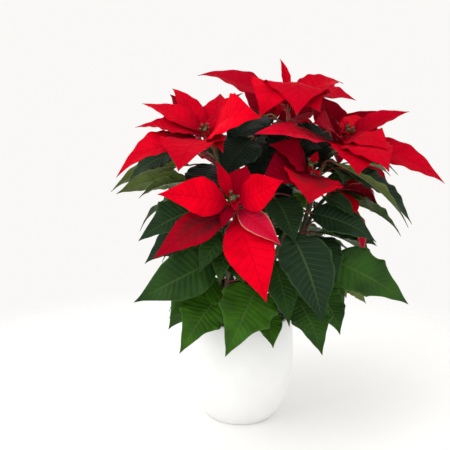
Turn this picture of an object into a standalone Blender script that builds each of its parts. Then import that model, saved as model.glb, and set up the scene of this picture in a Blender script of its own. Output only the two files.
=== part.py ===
"""A poinsettia in a white cover pot.

Three rooted cuttings share one nursery pot. Each has a short woody trunk that was pinched
and forks above the soil. The branches carry green leaves on thin stalks and end in a
bloom: coloured bracts around a knot of small yellow buds, the cyathia.
Tables are in millimetres, the scene is in metres, and +Z is up.
"""

import math
import random
from dataclasses import dataclass, replace

import bmesh
import bpy
from mathutils import Matrix, Vector
from mathutils.bvhtree import BVHTree

MM = 0.001
UP = Vector((0.0, 0.0, 1.0))
INTO_PICTURE = Vector((0.0, 1.0, 0.0))
MERGE = 0.00001

# Cover pot
POT_HEIGHT = 142.0
POT_FOOT_RADIUS = 46.0
POT_BELLY_RADIUS = 72.5
POT_BELLY_HEIGHT = 90.0
POT_RIM_RADIUS = 69.5
POT_WALL = 4.5
POT_FLOOR = 5.0
POT_STEPS = 28
CURVE_STEPS = 4

# Nursery pot and soil
NURSERY_RIM_RADIUS = 62.5
NURSERY_FOOT_RADIUS = 45.0
NURSERY_TOP = 131.0
NURSERY_WALL = 1.2
NURSERY_LIP = 8.0
NURSERY_STEPS = 24
SOIL_TOP = 123.0
SOIL_MOUND = 3.0
STEM_DEPTH = 28.0
HOLE_MARGIN = 0.8
CONTACT_GAP = 0.3

# Stems and stalks
TRUNK_RADIUS = 5.0
TRUNK_TOP_RADIUS = 4.4
BRANCH_RADIUS = 3.4
BRANCH_TOP_RADIUS = 2.4
BRANCH_SINK = 14.0
LIMB_STEPS = 5
NECK_LENGTH = 6.0
STALK_RADIUS = 1.1
STALK_STEPS = 2
STALK_DROP = 14.0
STALK_SHIFTS = (0.0, -12.0, 12.0, -24.0, 24.0, -40.0, 40.0, -60.0)

# Blooms
CORE_LENGTH = 32.0
CORE_RADIUS = 3.6
FIRST_BRACT_DEPTH = 14.0
BRACT_SPACING = 1.6
BUD_CLEARANCE = 11.0
BUD_RADIUS = 2.1
BUD_LENGTH = 3.2
BUD_RING_RADIUS = 3.8
BUD_SEAT_HEIGHT = 2.2
BUD_KNOT_RADIUS = 5.9
BUD_KNOT_HEIGHT = 7.0

# Blades
BLADE_THICKNESS = 0.8
CLEARANCE = 0.7
PATH_SPACING = 1.5
ROOT_SHARE = 0.3
PLANT_MIDDLE = Vector((15.0, 0.0, 240.0))
UPWARD_SHARE = 0.8
EDGE_WAVES = 2.0
DEPTH_BENDS = (0.0, 5.0, -5.0, 10.0, -10.0, 16.0, -16.0, 24.0, -24.0, 34.0, -34.0)
SWING_BENDS = (0.0, 4.0, -4.0, 9.0, -9.0, 16.0, -16.0)
ROLL_BENDS = (0.0, 12.0, -12.0, 25.0, -25.0, 45.0, -45.0)
SWING_COST = 2.5
ROLL_COST = 0.5

# Places along a blade and half widths there, as shares of its length and half width
TOOTHED_LEAF = ((0.0, 0.10), (0.10, 0.56), (0.32, 1.0), (0.39, 0.86), (0.54, 0.88),
                (0.62, 0.60), (0.82, 0.28), (1.0, 0.0))
PLAIN_LEAF = ((0.0, 0.10), (0.12, 0.62), (0.34, 1.0), (0.58, 0.86), (0.81, 0.36), (1.0, 0.0))
WIDE_BRACT = ((0.0, 0.07), (0.09, 0.08), (0.27, 0.72), (0.48, 1.0), (0.74, 0.60), (1.0, 0.0))
SLIM_BRACT = ((0.0, 0.10), (0.12, 0.14), (0.34, 0.80), (0.55, 1.0), (0.78, 0.55), (1.0, 0.0))


@dataclass(frozen=True)
class Blade:
    """One leaf or bract: where it starts and ends, and how it faces and curves."""

    root: Vector
    tip: Vector
    width: float
    front: float = 0.0
    arch: float = 0.10
    fold: float = 14.0
    wave: float = 0.10
    outline: tuple = PLAIN_LEAF
    roll: float = 0.0
    stalk: tuple = ()

    def chord(self):
        return self.tip - self.root

    def axes(self):
        """The blade's own directions: across it, and out of its upper face."""
        along = self.chord().normalized()
        outward = ((self.root + self.tip) / 2.0 - PLANT_MIDDLE).normalized() + UP * UPWARD_SHARE
        outward -= INTO_PICTURE * self.front
        face = (outward - along * outward.dot(along)).normalized()
        face = Matrix.Rotation(math.radians(self.roll), 3, along) @ face
        return along.cross(face), face

    def point(self, share, side, half):
        """A point at a share of the length, on side -1, 0 or 1, at a half width."""
        across, face = self.axes()
        length = self.chord().length
        rise = self.arch * length * 4.0 * share * (1.0 - share)
        fold = math.radians(self.fold)
        lift = half * math.sin(fold) * abs(side)
        lift += self.wave * half * math.sin(EDGE_WAVES * math.tau * share + side) * abs(side)
        rib = self.root + self.chord() * share + face * rise
        return rib + across * (side * half * math.cos(fold)) + face * lift

    def rows(self, grow=0.0, start=0.0):
        """The rows of points, left edge, midrib and right edge, with the tip a single point."""
        rows = []
        for share, part in self.outline:
            if share < start:
                continue
            half = part * self.width / 2.0 + grow
            if part == 0.0:
                rows.append([self.point(share, 0.0, 0.0)])
            else:
                rows.append([self.point(share, side, half) for side in (-1.0, 0.0, 1.0)])
        return rows

    def stalk_rows(self):
        """Rows across the stalk, turned with its path."""
        rows = []
        across, face = self.axes()
        for here, following in zip(self.stalk, self.stalk[1:] + (self.root,)):
            along = (following - here).normalized()
            flat = across - along * across.dot(along)
            if flat.length < 0.3:
                flat = along.cross(face)
            flat = flat.normalized() * STALK_RADIUS
            rows.append([here - flat, here, here + flat])
        return rows

    def bent(self, bend):
        """The same blade turned about its root: in depth, in the picture, and rolled."""
        depth, swing, roll = bend
        chord = self.chord()
        hinge = INTO_PICTURE.cross(chord)
        if hinge.length < 0.2 * chord.length:
            hinge = Vector((1.0, 0.0, 0.0))
        chord = Matrix.Rotation(math.radians(depth), 3, hinge.normalized()) @ chord
        chord = Matrix.Rotation(math.radians(swing), 3, INTO_PICTURE) @ chord
        return replace(self, tip=self.root + chord, roll=self.roll + roll)


@dataclass(frozen=True)
class Head:
    """A bloom: the top of its core, the way it looks, its plant and its bracts."""

    name: str
    plant: str
    top: Vector
    looks: Vector
    tips: tuple
    buds: int = 5

    def axis(self):
        return self.looks.normalized()

    def foot(self):
        return self.top - self.axis() * CORE_LENGTH

    def bracts(self):
        """The bracts, the most upright rooted nearest the buds."""
        def lean(spec):
            return (spec.tip - self.top).angle(self.axis())

        placed = []
        for order, spec in enumerate(sorted(self.tips, key=lean)):
            clear = BUD_CLEARANCE / math.tan(min(max(lean(spec), 0.3), 1.5))
            depth = max(FIRST_BRACT_DEPTH + BRACT_SPACING * order, clear)
            depth = min(depth, CORE_LENGTH - 3.0)
            aside = (spec.tip - self.top).normalized().cross(self.axis()).cross(self.axis())
            root = self.top - self.axis() * depth - aside.normalized() * (0.4 * CORE_RADIUS)
            placed.append(replace(spec, root=root))
        return placed


def mm(x, y, z):
    return Vector((x, y, z))


def bract(x, y, z, width, front=0.5, arch=0.12, fold=12.0, outline=WIDE_BRACT):
    """A bract that ends at x, y, z. Its root is set later, on its bloom's core."""
    return Blade(mm(0.0, 0.0, 0.0), mm(x, y, z), width, front, arch, fold, 0.06, outline)


def leaf(root, tip, width, front=1.0, arch=0.10, outline=PLAIN_LEAF):
    return Blade(mm(*root), mm(*tip), width, front, arch, 14.0, 0.10, outline)


TRUNKS = {
    "left": (mm(-20.0, -12.0, SOIL_TOP - STEM_DEPTH), mm(-24.0, -16.0, 158.0)),
    "right": (mm(20.0, -8.0, SOIL_TOP - STEM_DEPTH), mm(26.0, -10.0, 160.0)),
    "back": (mm(2.0, 26.0, SOIL_TOP - STEM_DEPTH), mm(2.0, 30.0, 156.0)),
}

# Where a branch bulges on its way from its trunk to its bloom
ELBOWS = {
    "a": mm(-40.0, -30.0, 265.0),
    "b": mm(35.0, 4.0, 290.0),
    "c": mm(95.0, -15.0, 240.0),
    "d": mm(-14.0, -40.0, 235.0),
    "e": mm(45.0, -30.0, 260.0),
    "f": mm(95.0, 20.0, 235.0),
    "p": mm(-50.0, 60.0, 265.0),
    "q": mm(35.0, 90.0, 285.0),
    "r": mm(95.0, 70.0, 250.0),
}

HEADS = (
    Head("a", "left", mm(-45.0, -60.0, 387.0), mm(-0.35, -0.55, 0.75), (
        bract(-148.0, -100.0, 337.0, 62.0, 0.6, 0.14),
        bract(-132.0, -45.0, 389.0, 46.0, 0.9, 0.12),
        bract(-127.0, -15.0, 419.0, 36.0, 0.5, 0.10),
        bract(-90.0, 10.0, 444.0, 30.0, 0.3, 0.05),
        bract(18.0, -118.0, 403.0, 74.0, 1.4, 0.18),
        bract(-72.0, -145.0, 343.0, 80.0, 0.3, 0.14),
        bract(-24.0, -125.0, 366.0, 26.0, 0.3, 0.10, 16.0, SLIM_BRACT),
        bract(-27.0, 20.0, 434.0, 44.0, 0.5, 0.08),
    )),
    Head("b", "right", mm(62.0, -2.0, 430.0), mm(0.0, -0.35, 0.94), (
        bract(-56.0, 30.0, 465.0, 54.0, 0.9, 0.05),
        bract(54.0, 40.0, 483.0, 15.0, 0.4, 0.04, 30.0, SLIM_BRACT),
        bract(140.0, 45.0, 452.0, 54.0, 0.7, 0.16),
        bract(18.0, -92.0, 400.0, 80.0, 0.6, 0.34, 2.0),
        bract(60.0, -104.0, 393.0, 84.0, 0.6, 0.36, -8.0),
        bract(138.0, -48.0, 425.0, 60.0, 0.9, 0.10),
        bract(90.0, -88.0, 406.0, 60.0, 0.7, 0.24, -4.0),
        bract(95.0, 110.0, 448.0, 56.0, 0.0, 0.10),
        bract(12.0, 100.0, 446.0, 54.0, 0.0, 0.10),
    )),
    Head("c", "right", mm(134.0, -30.0, 386.0), mm(0.45, -0.50, 0.75), (
        bract(214.0, -15.0, 411.0, 34.0, 0.6, 0.05, 16.0),
        bract(176.0, -68.0, 364.0, 64.0, 1.2, 0.16, 4.0),
        bract(166.0, -98.0, 345.0, 78.0, 1.2, 0.16, -4.0),
        bract(263.0, -20.0, 319.0, 52.0, 1.2, 0.10),
        bract(12.0, -122.0, 386.0, 44.0, 0.3, 0.04, 8.0),
        bract(84.0, -74.0, 396.0, 60.0, 1.2, 0.10),
        bract(190.0, 60.0, 396.0, 50.0, 0.0, 0.10),
        bract(129.0, -112.0, 350.0, 62.0, 1.2, 0.14, -6.0),
    )),
    Head("d", "left", mm(-12.0, -125.0, 312.0), mm(-0.05, -0.80, 0.60), (
        bract(-94.0, -146.0, 319.0, 46.0, 2.0, 0.12),
        bract(39.0, -160.0, 335.0, 44.0, 2.0, -0.04),
        bract(-31.0, -122.0, 354.0, 16.0, 0.5, 0.02, 16.0, SLIM_BRACT),
        bract(4.0, -100.0, 347.0, 44.0, 0.6, 0.06),
        bract(24.0, -170.0, 203.0, 58.0, 0.5, 0.10),
        bract(-100.0, -156.0, 248.0, 42.0, 1.2, 0.06),
        bract(40.0, -158.0, 264.0, 30.0, 1.0, 0.08),
    ), 3),
    Head("e", "right", mm(82.0, -72.0, 346.0), mm(0.0, -0.70, 0.65), (
        bract(70.0, -128.0, 297.0, 74.0, 0.8, 0.08),
        bract(20.0, -100.0, 328.0, 58.0, 0.9, 0.16),
        bract(34.0, -92.0, 370.0, 50.0, 1.0, 0.10),
    ), 3),
    Head("f", "right", mm(134.0, 4.0, 318.0), mm(0.50, -0.55, 0.65), (
        bract(183.0, -8.0, 279.0, 42.0, -0.5, 0.22),
        bract(143.0, -48.0, 278.0, 28.0, 0.8, 0.10, 14.0, SLIM_BRACT),
        bract(155.0, -50.0, 231.0, 30.0, 0.8, 0.10, 14.0, SLIM_BRACT),
        bract(190.0, 50.0, 300.0, 36.0, 0.0, 0.12),
    ), 3),
)

FRONT_LEAVES = (
    leaf((-71.0, -40.0, 362.0), (-141.0, -50.0, 325.0), 44.0),
    leaf((-68.0, 10.0, 340.0), (-171.0, -10.0, 309.0), 46.0, -0.7),
    leaf((-78.0, 30.0, 322.0), (-170.0, 25.0, 300.0), 42.0, -0.7),
    leaf((-66.0, 20.0, 318.0), (-136.0, 0.0, 298.0), 38.0, -0.5),
    leaf((-45.0, -70.0, 293.0), (-124.0, -95.0, 257.0), 56.0, 1.2, 0.12, TOOTHED_LEAF),
    leaf((-52.0, -50.0, 262.0), (-122.0, -62.0, 223.0), 44.0),
    leaf((-32.0, -60.0, 226.0), (-131.0, -95.0, 182.0), 60.0, 1.2, 0.12),
    leaf((-29.0, -46.0, 198.0), (-90.0, -80.0, 158.0), 54.0, 1.2, 0.10),
    leaf((-45.0, -20.0, 185.0), (-96.0, -35.0, 128.0), 46.0),
    leaf((-28.0, -58.0, 180.0), (-78.0, -118.0, 124.0), 64.0, 0.8, 0.10, TOOTHED_LEAF),
    leaf((18.0, -78.0, 196.0), (-21.0, -148.0, 133.0), 74.0, 0.4, 0.12, TOOTHED_LEAF),
    leaf((30.0, -74.0, 166.0), (37.0, -105.0, 128.0), 34.0),
    leaf((66.0, -70.0, 182.0), (92.0, -130.0, 128.0), 64.0, 0.6, 0.10, TOOTHED_LEAF),
    leaf((56.0, -100.0, 268.0), (88.0, -150.0, 173.0), 66.0, 0.5, 0.10),
    leaf((38.0, -76.0, 230.0), (55.0, -118.0, 157.0), 40.0),
    leaf((108.0, -60.0, 228.0), (203.0, -88.0, 178.0), 64.0, 1.4, 0.10, TOOTHED_LEAF),
    leaf((96.0, -30.0, 186.0), (126.0, -60.0, 129.0), 48.0),
    leaf((105.0, -5.0, 196.0), (138.0, -18.0, 148.0), 36.0),
    leaf((132.0, 24.0, 186.0), (176.0, 22.0, 146.0), 34.0),
    leaf((120.0, 10.0, 212.0), (145.0, 2.0, 161.0), 32.0),
    leaf((116.0, -50.0, 346.0), (204.0, -72.0, 270.0), 46.0, -0.4, 0.08),
    leaf((132.0, 0.0, 336.0), (221.0, -26.0, 266.0), 52.0, 0.8, 0.10),
    leaf((140.0, 4.0, 292.0), (214.0, -14.0, 255.0), 46.0, 0.4),
    leaf((84.0, -56.0, 285.0), (165.0, -72.0, 252.0), 48.0, 1.0),
    leaf((104.0, -22.0, 270.0), (176.0, -36.0, 237.0), 44.0, 0.6),
    leaf((160.0, 50.0, 340.0), (214.0, 62.0, 322.0), 36.0, 0.3),
    leaf((12.0, -58.0, 376.0), (-25.0, -92.0, 330.0), 56.0),
    leaf((30.0, -30.0, 404.0), (-14.0, -60.0, 374.0), 50.0),
    leaf((104.0, -46.0, 304.0), (140.0, -66.0, 280.0), 30.0),
    leaf((-14.0, -74.0, 290.0), (-56.0, -110.0, 282.0), 36.0),
    leaf((-50.0, -14.0, 248.0), (-94.0, -34.0, 224.0), 50.0),
    leaf((0.0, -82.0, 296.0), (26.0, -112.0, 268.0), 40.0),
    leaf((-34.0, -50.0, 344.0), (-58.0, -100.0, 300.0), 50.0),
    leaf((40.0, -56.0, 304.0), (62.0, -112.0, 252.0), 50.0),
    leaf((88.0, -44.0, 254.0), (112.0, -98.0, 206.0), 50.0),
    leaf((124.0, 10.0, 360.0), (84.0, -40.0, 330.0), 54.0),
    leaf((22.0, 0.0, 400.0), (-14.0, -50.0, 356.0), 50.0),
    leaf((74.0, -10.0, 342.0), (36.0, -66.0, 312.0), 56.0),
    leaf((66.0, 18.0, 392.0), (30.0, -30.0, 366.0), 56.0),
    leaf((112.0, 12.0, 384.0), (62.0, -20.0, 352.0), 58.0),
    leaf((100.0, 20.0, 330.0), (136.0, -20.0, 318.0), 44.0),
    leaf((-12.0, 30.0, 290.0), (-40.0, 10.0, 222.0), 60.0),
    leaf((-10.0, 40.0, 235.0), (-25.0, 24.0, 172.0), 56.0),
    leaf((60.0, 0.0, 380.0), (40.0, -30.0, 335.0), 50.0),
    leaf((30.0, -10.0, 370.0), (14.0, -60.0, 318.0), 54.0),
    leaf((44.0, -10.0, 325.0), (34.0, -50.0, 275.0), 50.0),
)

# Blooms and leaves on the far side follow a rule
BACK_HEADS = (
    ("p", "back", mm(-62.0, 92.0, 376.0), mm(-0.55, 0.55, 0.63)),
    ("q", "back", mm(45.0, 135.0, 398.0), mm(0.05, 0.66, 0.75)),
    ("r", "back", mm(148.0, 100.0, 366.0), mm(0.60, 0.52, 0.60)),
)
BACK_BRACTS = 6
BACK_BUDS = 3
GOLDEN_ANGLE = math.radians(137.5)
BACK_REACH = (70.0, 118.0)
BACK_WIDTH = (36.0, 62.0)
BACK_LEAN = (58.0, 104.0)
BACK_SEED = 12
# Rings of leaves: height of the blades' roots, count, distance from the middle, length, drop
LEAF_RINGS = (
    (352.0, 4, 92.0, 92.0, 16.0),
    (306.0, 5, 80.0, 104.0, 26.0),
    (256.0, 4, 66.0, 108.0, 36.0),
    (206.0, 5, 54.0, 104.0, 44.0),
)
RING_ARC = (-8.0, 196.0)
RING_MIDDLE = Vector((35.0, 10.0, 0.0))


def clear_scene():
    """Remove whatever the scene held."""
    for old in list(bpy.data.objects):
        bpy.data.objects.remove(old, do_unlink=True)


def make_collection(name):
    collection = bpy.data.collections.new(name)
    bpy.context.scene.collection.children.link(collection)
    return collection


def make_material(name, colour, roughness, metallic=0.0):
    material = bpy.data.materials.new(name)
    material.use_nodes = True
    shader = material.node_tree.nodes["Principled BSDF"]
    shader.inputs["Base Color"].default_value = (*colour, 1.0)
    shader.inputs["Roughness"].default_value = roughness
    shader.inputs["Metallic"].default_value = metallic
    material.diffuse_color = (*colour, 1.0)
    return material


def add_object(name, data, collection, material=None):
    obj = bpy.data.objects.new(name, data)
    collection.objects.link(obj)
    if material:
        data.materials.append(material)
    return obj


def mesh_from(shape, name):
    """A mesh made from a bmesh, which is freed."""
    mesh = bpy.data.meshes.new(name)
    shape.to_mesh(mesh)
    shape.free()
    return mesh


def evaluated_copy(obj):
    """The object's shape with its modifiers applied, as a mesh of its own."""
    graph = bpy.context.evaluated_depsgraph_get()
    return bpy.data.meshes.new_from_object(obj.evaluated_get(graph), depsgraph=graph)


def settle(obj):
    """Apply an object's modifiers."""
    mesh = evaluated_copy(obj)
    obj.modifiers.clear()
    obj.data = mesh


def turned(name, profile, steps, material, collection):
    """A turned solid, from a profile that ends running down its outer side."""
    mesh = bpy.data.meshes.new(name)
    points = [(radius * MM, 0.0, height * MM) for radius, height in profile]
    edges = [(i, i + 1) for i in range(len(points) - 1)]
    mesh.from_pydata(points, edges, [])
    obj = add_object(name, mesh, collection, material)
    screw = obj.modifiers.new("turn", "SCREW")
    screw.steps = steps
    screw.render_steps = steps
    screw.use_merge_vertices = True
    screw.merge_threshold = MERGE
    screw.use_smooth_shade = True
    return obj


def bezier(points, steps):
    """Points along a Bezier curve of any degree, both ends included."""
    path = []
    for i in range(steps + 1):
        level = list(points)
        while len(level) > 1:
            level = [a.lerp(b, i / steps) for a, b in zip(level, level[1:])]
        path.append(level[0])
    return path


def flat_bezier(points, steps):
    return [(p.x, p.y) for p in bezier([Vector(point) for point in points], steps)]


def pot_outer():
    """The cover pot's outer side from the rim down to the foot."""
    upper = flat_bezier(((POT_RIM_RADIUS, POT_HEIGHT - 2.0), (POT_RIM_RADIUS + 2.0, POT_HEIGHT - 20.0),
                         (POT_BELLY_RADIUS, POT_BELLY_HEIGHT + 18.0),
                         (POT_BELLY_RADIUS, POT_BELLY_HEIGHT)), CURVE_STEPS)
    lower = flat_bezier(((POT_BELLY_RADIUS, POT_BELLY_HEIGHT), (POT_BELLY_RADIUS, 48.0),
                         (62.0, 18.0), (POT_FOOT_RADIUS + 1.2, 1.2)), CURVE_STEPS + 2)
    return upper + lower[1:]


def build_cover_pot(collection, material):
    outer = pot_outer()
    inner = [(radius - POT_WALL, height) for radius, height in outer[::2] if height > 2.0 * POT_FLOOR]
    profile = [(0.0, POT_FLOOR), (POT_FOOT_RADIUS - POT_WALL, POT_FLOOR)]
    profile += inner[::-1]
    profile += [(POT_RIM_RADIUS - POT_WALL + 1.4, POT_HEIGHT - 0.3),
                (POT_RIM_RADIUS - POT_WALL / 2.0, POT_HEIGHT), (POT_RIM_RADIUS - 1.2, POT_HEIGHT - 0.4)]
    profile += outer
    profile += [(POT_FOOT_RADIUS, 0.0), (0.0, 0.0)]
    return turned("cover_pot", profile, POT_STEPS, material, collection)


def nursery_radius(height):
    """The outer radius of the nursery pot's tapered wall."""
    base = POT_FLOOR + CONTACT_GAP
    share = (height - base) / (NURSERY_TOP - base)
    return NURSERY_FOOT_RADIUS + (NURSERY_RIM_RADIUS - 1.6 - NURSERY_FOOT_RADIUS) * share


def build_nursery_pot(collection, material):
    base = POT_FLOOR + CONTACT_GAP
    lip = NURSERY_TOP - NURSERY_LIP
    profile = [(0.0, base + NURSERY_WALL), (NURSERY_FOOT_RADIUS - NURSERY_WALL - 4.0, base + NURSERY_WALL),
               (nursery_radius(base + 9.0) - NURSERY_WALL, base + 9.0),
               (nursery_radius(NURSERY_TOP) - NURSERY_WALL, NURSERY_TOP),
               (NURSERY_RIM_RADIUS - 0.4, NURSERY_TOP), (NURSERY_RIM_RADIUS, NURSERY_TOP - 0.6),
               (NURSERY_RIM_RADIUS, lip), (nursery_radius(lip) + 0.1, lip),
               (nursery_radius(base + 8.0), base + 8.0), (NURSERY_FOOT_RADIUS - 4.0, base), (0.0, base)]
    return turned("nursery_pot", profile, NURSERY_STEPS, material, collection)


def build_soil(collection, cutters, material):
    """The potting soil, with a plain hole for each trunk."""
    base = POT_FLOOR + 2.0 * CONTACT_GAP + NURSERY_WALL
    wall = NURSERY_WALL + CONTACT_GAP
    profile = [(0.0, SOIL_TOP + SOIL_MOUND), (25.0, SOIL_TOP + 0.8 * SOIL_MOUND),
               (48.0, SOIL_TOP), (nursery_radius(SOIL_TOP) - wall - 0.4, SOIL_TOP - 2.0),
               (nursery_radius(base + 9.0) - wall - 0.4, base + 9.0),
               (NURSERY_FOOT_RADIUS - wall - 5.0, base), (0.0, base)]
    soil = turned("soil", profile, NURSERY_STEPS, material, collection)
    settle(soil)
    for name, (foot, top) in TRUNKS.items():
        axis = (top - foot).normalized()
        depth = STEM_DEPTH + 2.0 * SOIL_MOUND
        radius = (TRUNK_RADIUS + HOLE_MARGIN) * MM
        shape = bmesh.new()
        bmesh.ops.create_cone(shape, cap_ends=True, segments=12, depth=depth * MM,
                              radius1=radius, radius2=radius)
        hole = add_object(name + "_hole", mesh_from(shape, name + "_hole"), cutters)
        middle = (foot + axis * (depth / 2.0 - CONTACT_GAP)) * MM
        hole.matrix_world = Matrix.Translation(middle) @ axis.to_track_quat("Z", "Y").to_matrix().to_4x4()
        hole.hide_render = True
        hole.display_type = "WIRE"
        bore = soil.modifiers.new(name, "BOOLEAN")
        bore.operation = "DIFFERENCE"
        bore.object = hole
    bpy.context.view_layer.update()
    settle(soil)
    return soil


class Crowd:
    """What already stands in place: blades as sheets, stems and stalks as wires."""

    def __init__(self):
        self.sheets = []
        self.wires = []

    def add_sheet(self, node, tree, outer):
        self.sheets.append((node, tree, outer))

    def add_wire(self, node, points, radius):
        self.wires.append((node, dense_path(points), radius))

    def sheet_fits(self, blade, node, strict):
        """Whether a blade keeps clear of the rest, and of its own node's blades when strict."""
        slab = sheet_tree(blade, 0.0, 2.0 * CLEARANCE + BLADE_THICKNESS, CLEARANCE)
        outer = sheet_tree(blade, ROOT_SHARE, 2.0 * CLEARANCE + BLADE_THICKNESS, CLEARANCE)
        for other, tree, tree_outer in self.sheets:
            if other != node and slab.overlap(tree):
                return False
            if other == node and strict and outer.overlap(tree_outer):
                return False
        for other, points, radius in self.wires:
            tree = outer if other == node else slab
            if other == node and not strict:
                continue
            reach = radius + CLEARANCE
            if any(tree.find_nearest(point, reach)[0] for point in points):
                return False
        return True

    def wire_fits(self, points, radius, node):
        """Whether a stalk keeps clear of every other node."""
        reach = radius + CLEARANCE
        for other, tree, _outer in self.sheets:
            if other != node and any(tree.find_nearest(p, reach + BLADE_THICKNESS)[0] for p in points):
                return False
        for other, path, size in self.wires:
            near = reach + size
            if other != node and any((a - b).length < near for a in points for b in path):
                return False
        return True


def sheet_tree(blade, start, thickness, grow):
    """A search tree over a blade: a thin sheet, or a closed slab when it has a thickness."""
    rows = blade.rows(grow, start)
    points = [point for row in rows for point in row]
    faces = row_faces(rows)
    if thickness:
        _across, face = blade.axes()
        count = len(points)
        lower = [point - face * (thickness / 2.0) for point in points]
        upper = [point + face * (thickness / 2.0) for point in points]
        rim = rim_order(rows)
        sides = []
        for a, b in zip(rim, rim[1:] + rim[:1]):
            sides.append((a, b, b + count, a + count))
        turned_faces = [tuple(i + count for i in reversed(f)) for f in faces]
        return BVHTree.FromPolygons(upper + lower, faces + turned_faces + sides)
    return BVHTree.FromPolygons(points, faces)


def row_faces(rows):
    """Triangles between rows of three points, alike on both halves, with a fan at the tip."""
    faces = []
    first = 0
    for row, following in zip(rows, rows[1:]):
        a, b, c = first, first + 1, first + 2
        first += len(row)
        if len(following) == 1:
            faces += [(a, b, first), (b, c, first)]
        else:
            d, e, f = first, first + 1, first + 2
            faces += [(a, b, d), (b, e, d), (b, c, f), (b, f, e)]
    return faces


def rim_order(rows):
    """The blade's outer points in order around it."""
    rim = []
    back = []
    first = 0
    for row in rows:
        rim.append(first)
        if len(row) == 3:
            back.append(first + 2)
        first += len(row)
    return [1] + rim + back[::-1]


def blade_object(name, blade, collection):
    """One blade, with its stalk, as a thin closed solid that is thicker along the stalk."""
    stalk = blade.stalk_rows()
    rows = stalk + blade.rows()
    points = [point * MM for row in rows for point in row]
    mesh = bpy.data.meshes.new(name)
    mesh.from_pydata(points, [], row_faces(rows))
    obj = add_object(name, mesh, collection)
    group = obj.vertex_groups.new(name="thickness")
    stalk_points = 3 * len(stalk)
    group.add(range(stalk_points), 1.0, "REPLACE")
    group.add(range(stalk_points, len(points)), BLADE_THICKNESS / (2.0 * STALK_RADIUS), "REPLACE")
    shell = obj.modifiers.new("thickness", "SOLIDIFY")
    shell.thickness = 2.0 * STALK_RADIUS * MM
    shell.offset = 0.0
    shell.vertex_group = group.name
    return obj


def tube_object(name, path, start_radius, end_radius, sides, collection):
    """A closed tapered tube of 4 or 6 sides along a path."""
    curve = bpy.data.curves.new(name, "CURVE")
    curve.dimensions = "3D"
    curve.bevel_depth = MM
    curve.bevel_resolution = (sides - 4) // 2
    curve.use_fill_caps = True
    spline = curve.splines.new("POLY")
    spline.points.add(len(path) - 1)
    for i, point in enumerate(path):
        share = i / (len(path) - 1)
        spline.points[i].co = (*(point * MM), 1.0)
        spline.points[i].radius = start_radius + (end_radius - start_radius) * share
    drawn = add_object(name + "_curve", curve, collection)
    mesh = evaluated_copy(drawn)
    shape = bmesh.new()
    shape.from_mesh(mesh)
    bmesh.ops.remove_doubles(shape, verts=shape.verts, dist=MERGE)
    bmesh.ops.triangulate(shape, faces=shape.faces)
    shape.to_mesh(mesh)
    shape.free()
    tube = add_object(name, mesh, collection)
    tube.matrix_world = drawn.matrix_world
    bpy.data.objects.remove(drawn)
    return tube


def fuse(name, core, pieces, collection, material):
    """Join a node's pieces to its core in one union, and remove the pieces."""
    join = core.modifiers.new("join", "BOOLEAN")
    join.operation = "UNION"
    join.operand_type = "COLLECTION"
    join.collection = pieces
    join.solver = "MANIFOLD"
    bpy.context.view_layer.update()
    mesh = evaluated_copy(core)
    mesh.name = name
    mesh.materials.clear()
    for part in list(pieces.objects) + [core]:
        bpy.data.objects.remove(part, do_unlink=True)
    bpy.data.collections.remove(pieces)
    return add_object(name, mesh, collection, material)


def limb_paths():
    """Every branch's centre line, from inside its trunk to just under its bloom."""
    paths = {}
    for head in all_heads():
        foot, top = TRUNKS[head.plant]
        start = top.lerp(foot, BRANCH_SINK / (top - foot).length)
        end = head.foot() - head.axis() * CONTACT_GAP
        neck = end - head.axis() * NECK_LENGTH
        before = neck - head.axis() * (0.3 * (neck - start).length)
        paths[head.name] = bezier([start, ELBOWS[head.name], before, neck], LIMB_STEPS) + [end]
    return paths


def back_bracts(number, top, looks):
    """Bracts around a far bloom, by the golden angle, longer and lower outwards."""
    draw = random.Random(BACK_SEED + number)
    axis = looks.normalized()
    side = axis.cross(UP).normalized()
    up = side.cross(axis)
    bracts = []
    for i in range(BACK_BRACTS):
        share = (i + 0.5) / BACK_BRACTS
        turn = i * GOLDEN_ANGLE + number
        lean = math.radians(BACK_LEAN[0] + (BACK_LEAN[1] - BACK_LEAN[0]) * share)
        reach = BACK_REACH[0] + (BACK_REACH[1] - BACK_REACH[0]) * share + draw.uniform(-6.0, 6.0)
        width = BACK_WIDTH[0] + (BACK_WIDTH[1] - BACK_WIDTH[0]) * share
        spread = side * math.cos(turn) + up * math.sin(turn)
        tip = top + (axis * math.cos(lean) + spread * math.sin(lean)) * reach
        bracts.append(bract(*tip, width, 0.0, 0.12))
    return tuple(bracts)


def all_heads():
    far = tuple(Head(name, plant, top, looks, back_bracts(number, top, looks), BACK_BUDS)
                for number, (name, plant, top, looks) in enumerate(BACK_HEADS))
    return HEADS + far


def back_leaves():
    """Leaves on the far side, ring by ring."""
    draw = random.Random(BACK_SEED)
    leaves = []
    for ring, (height, count, distance, length, drop) in enumerate(LEAF_RINGS):
        for i in range(count):
            share = (i + 0.5 * (ring % 2) + 0.25) / count
            turn = math.radians(RING_ARC[0] + (RING_ARC[1] - RING_ARC[0]) * share)
            turn += draw.uniform(-0.08, 0.08)
            out = Vector((math.cos(turn), math.sin(turn), 0.0))
            root = RING_MIDDLE + out * distance + UP * (height + draw.uniform(-8.0, 8.0))
            fall = math.radians(drop + draw.uniform(-6.0, 6.0))
            tip = root + (out * math.cos(fall) - UP * math.sin(fall)) * length
            outline = TOOTHED_LEAF if i % 2 else PLAIN_LEAF
            width = length * draw.uniform(0.50, 0.60)
            leaves.append(leaf(root, tip, width, 0.0, 0.13, outline))
    return leaves


def bends():
    """Ways to turn a blade aside, the smallest first."""
    choices = [(depth, swing, roll) for depth in DEPTH_BENDS for swing in SWING_BENDS
               for roll in ROLL_BENDS]

    def cost(bend):
        depth, swing, roll = bend
        return abs(depth) + SWING_COST * abs(swing) + ROLL_COST * abs(roll)

    return sorted(choices, key=cost)


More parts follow.
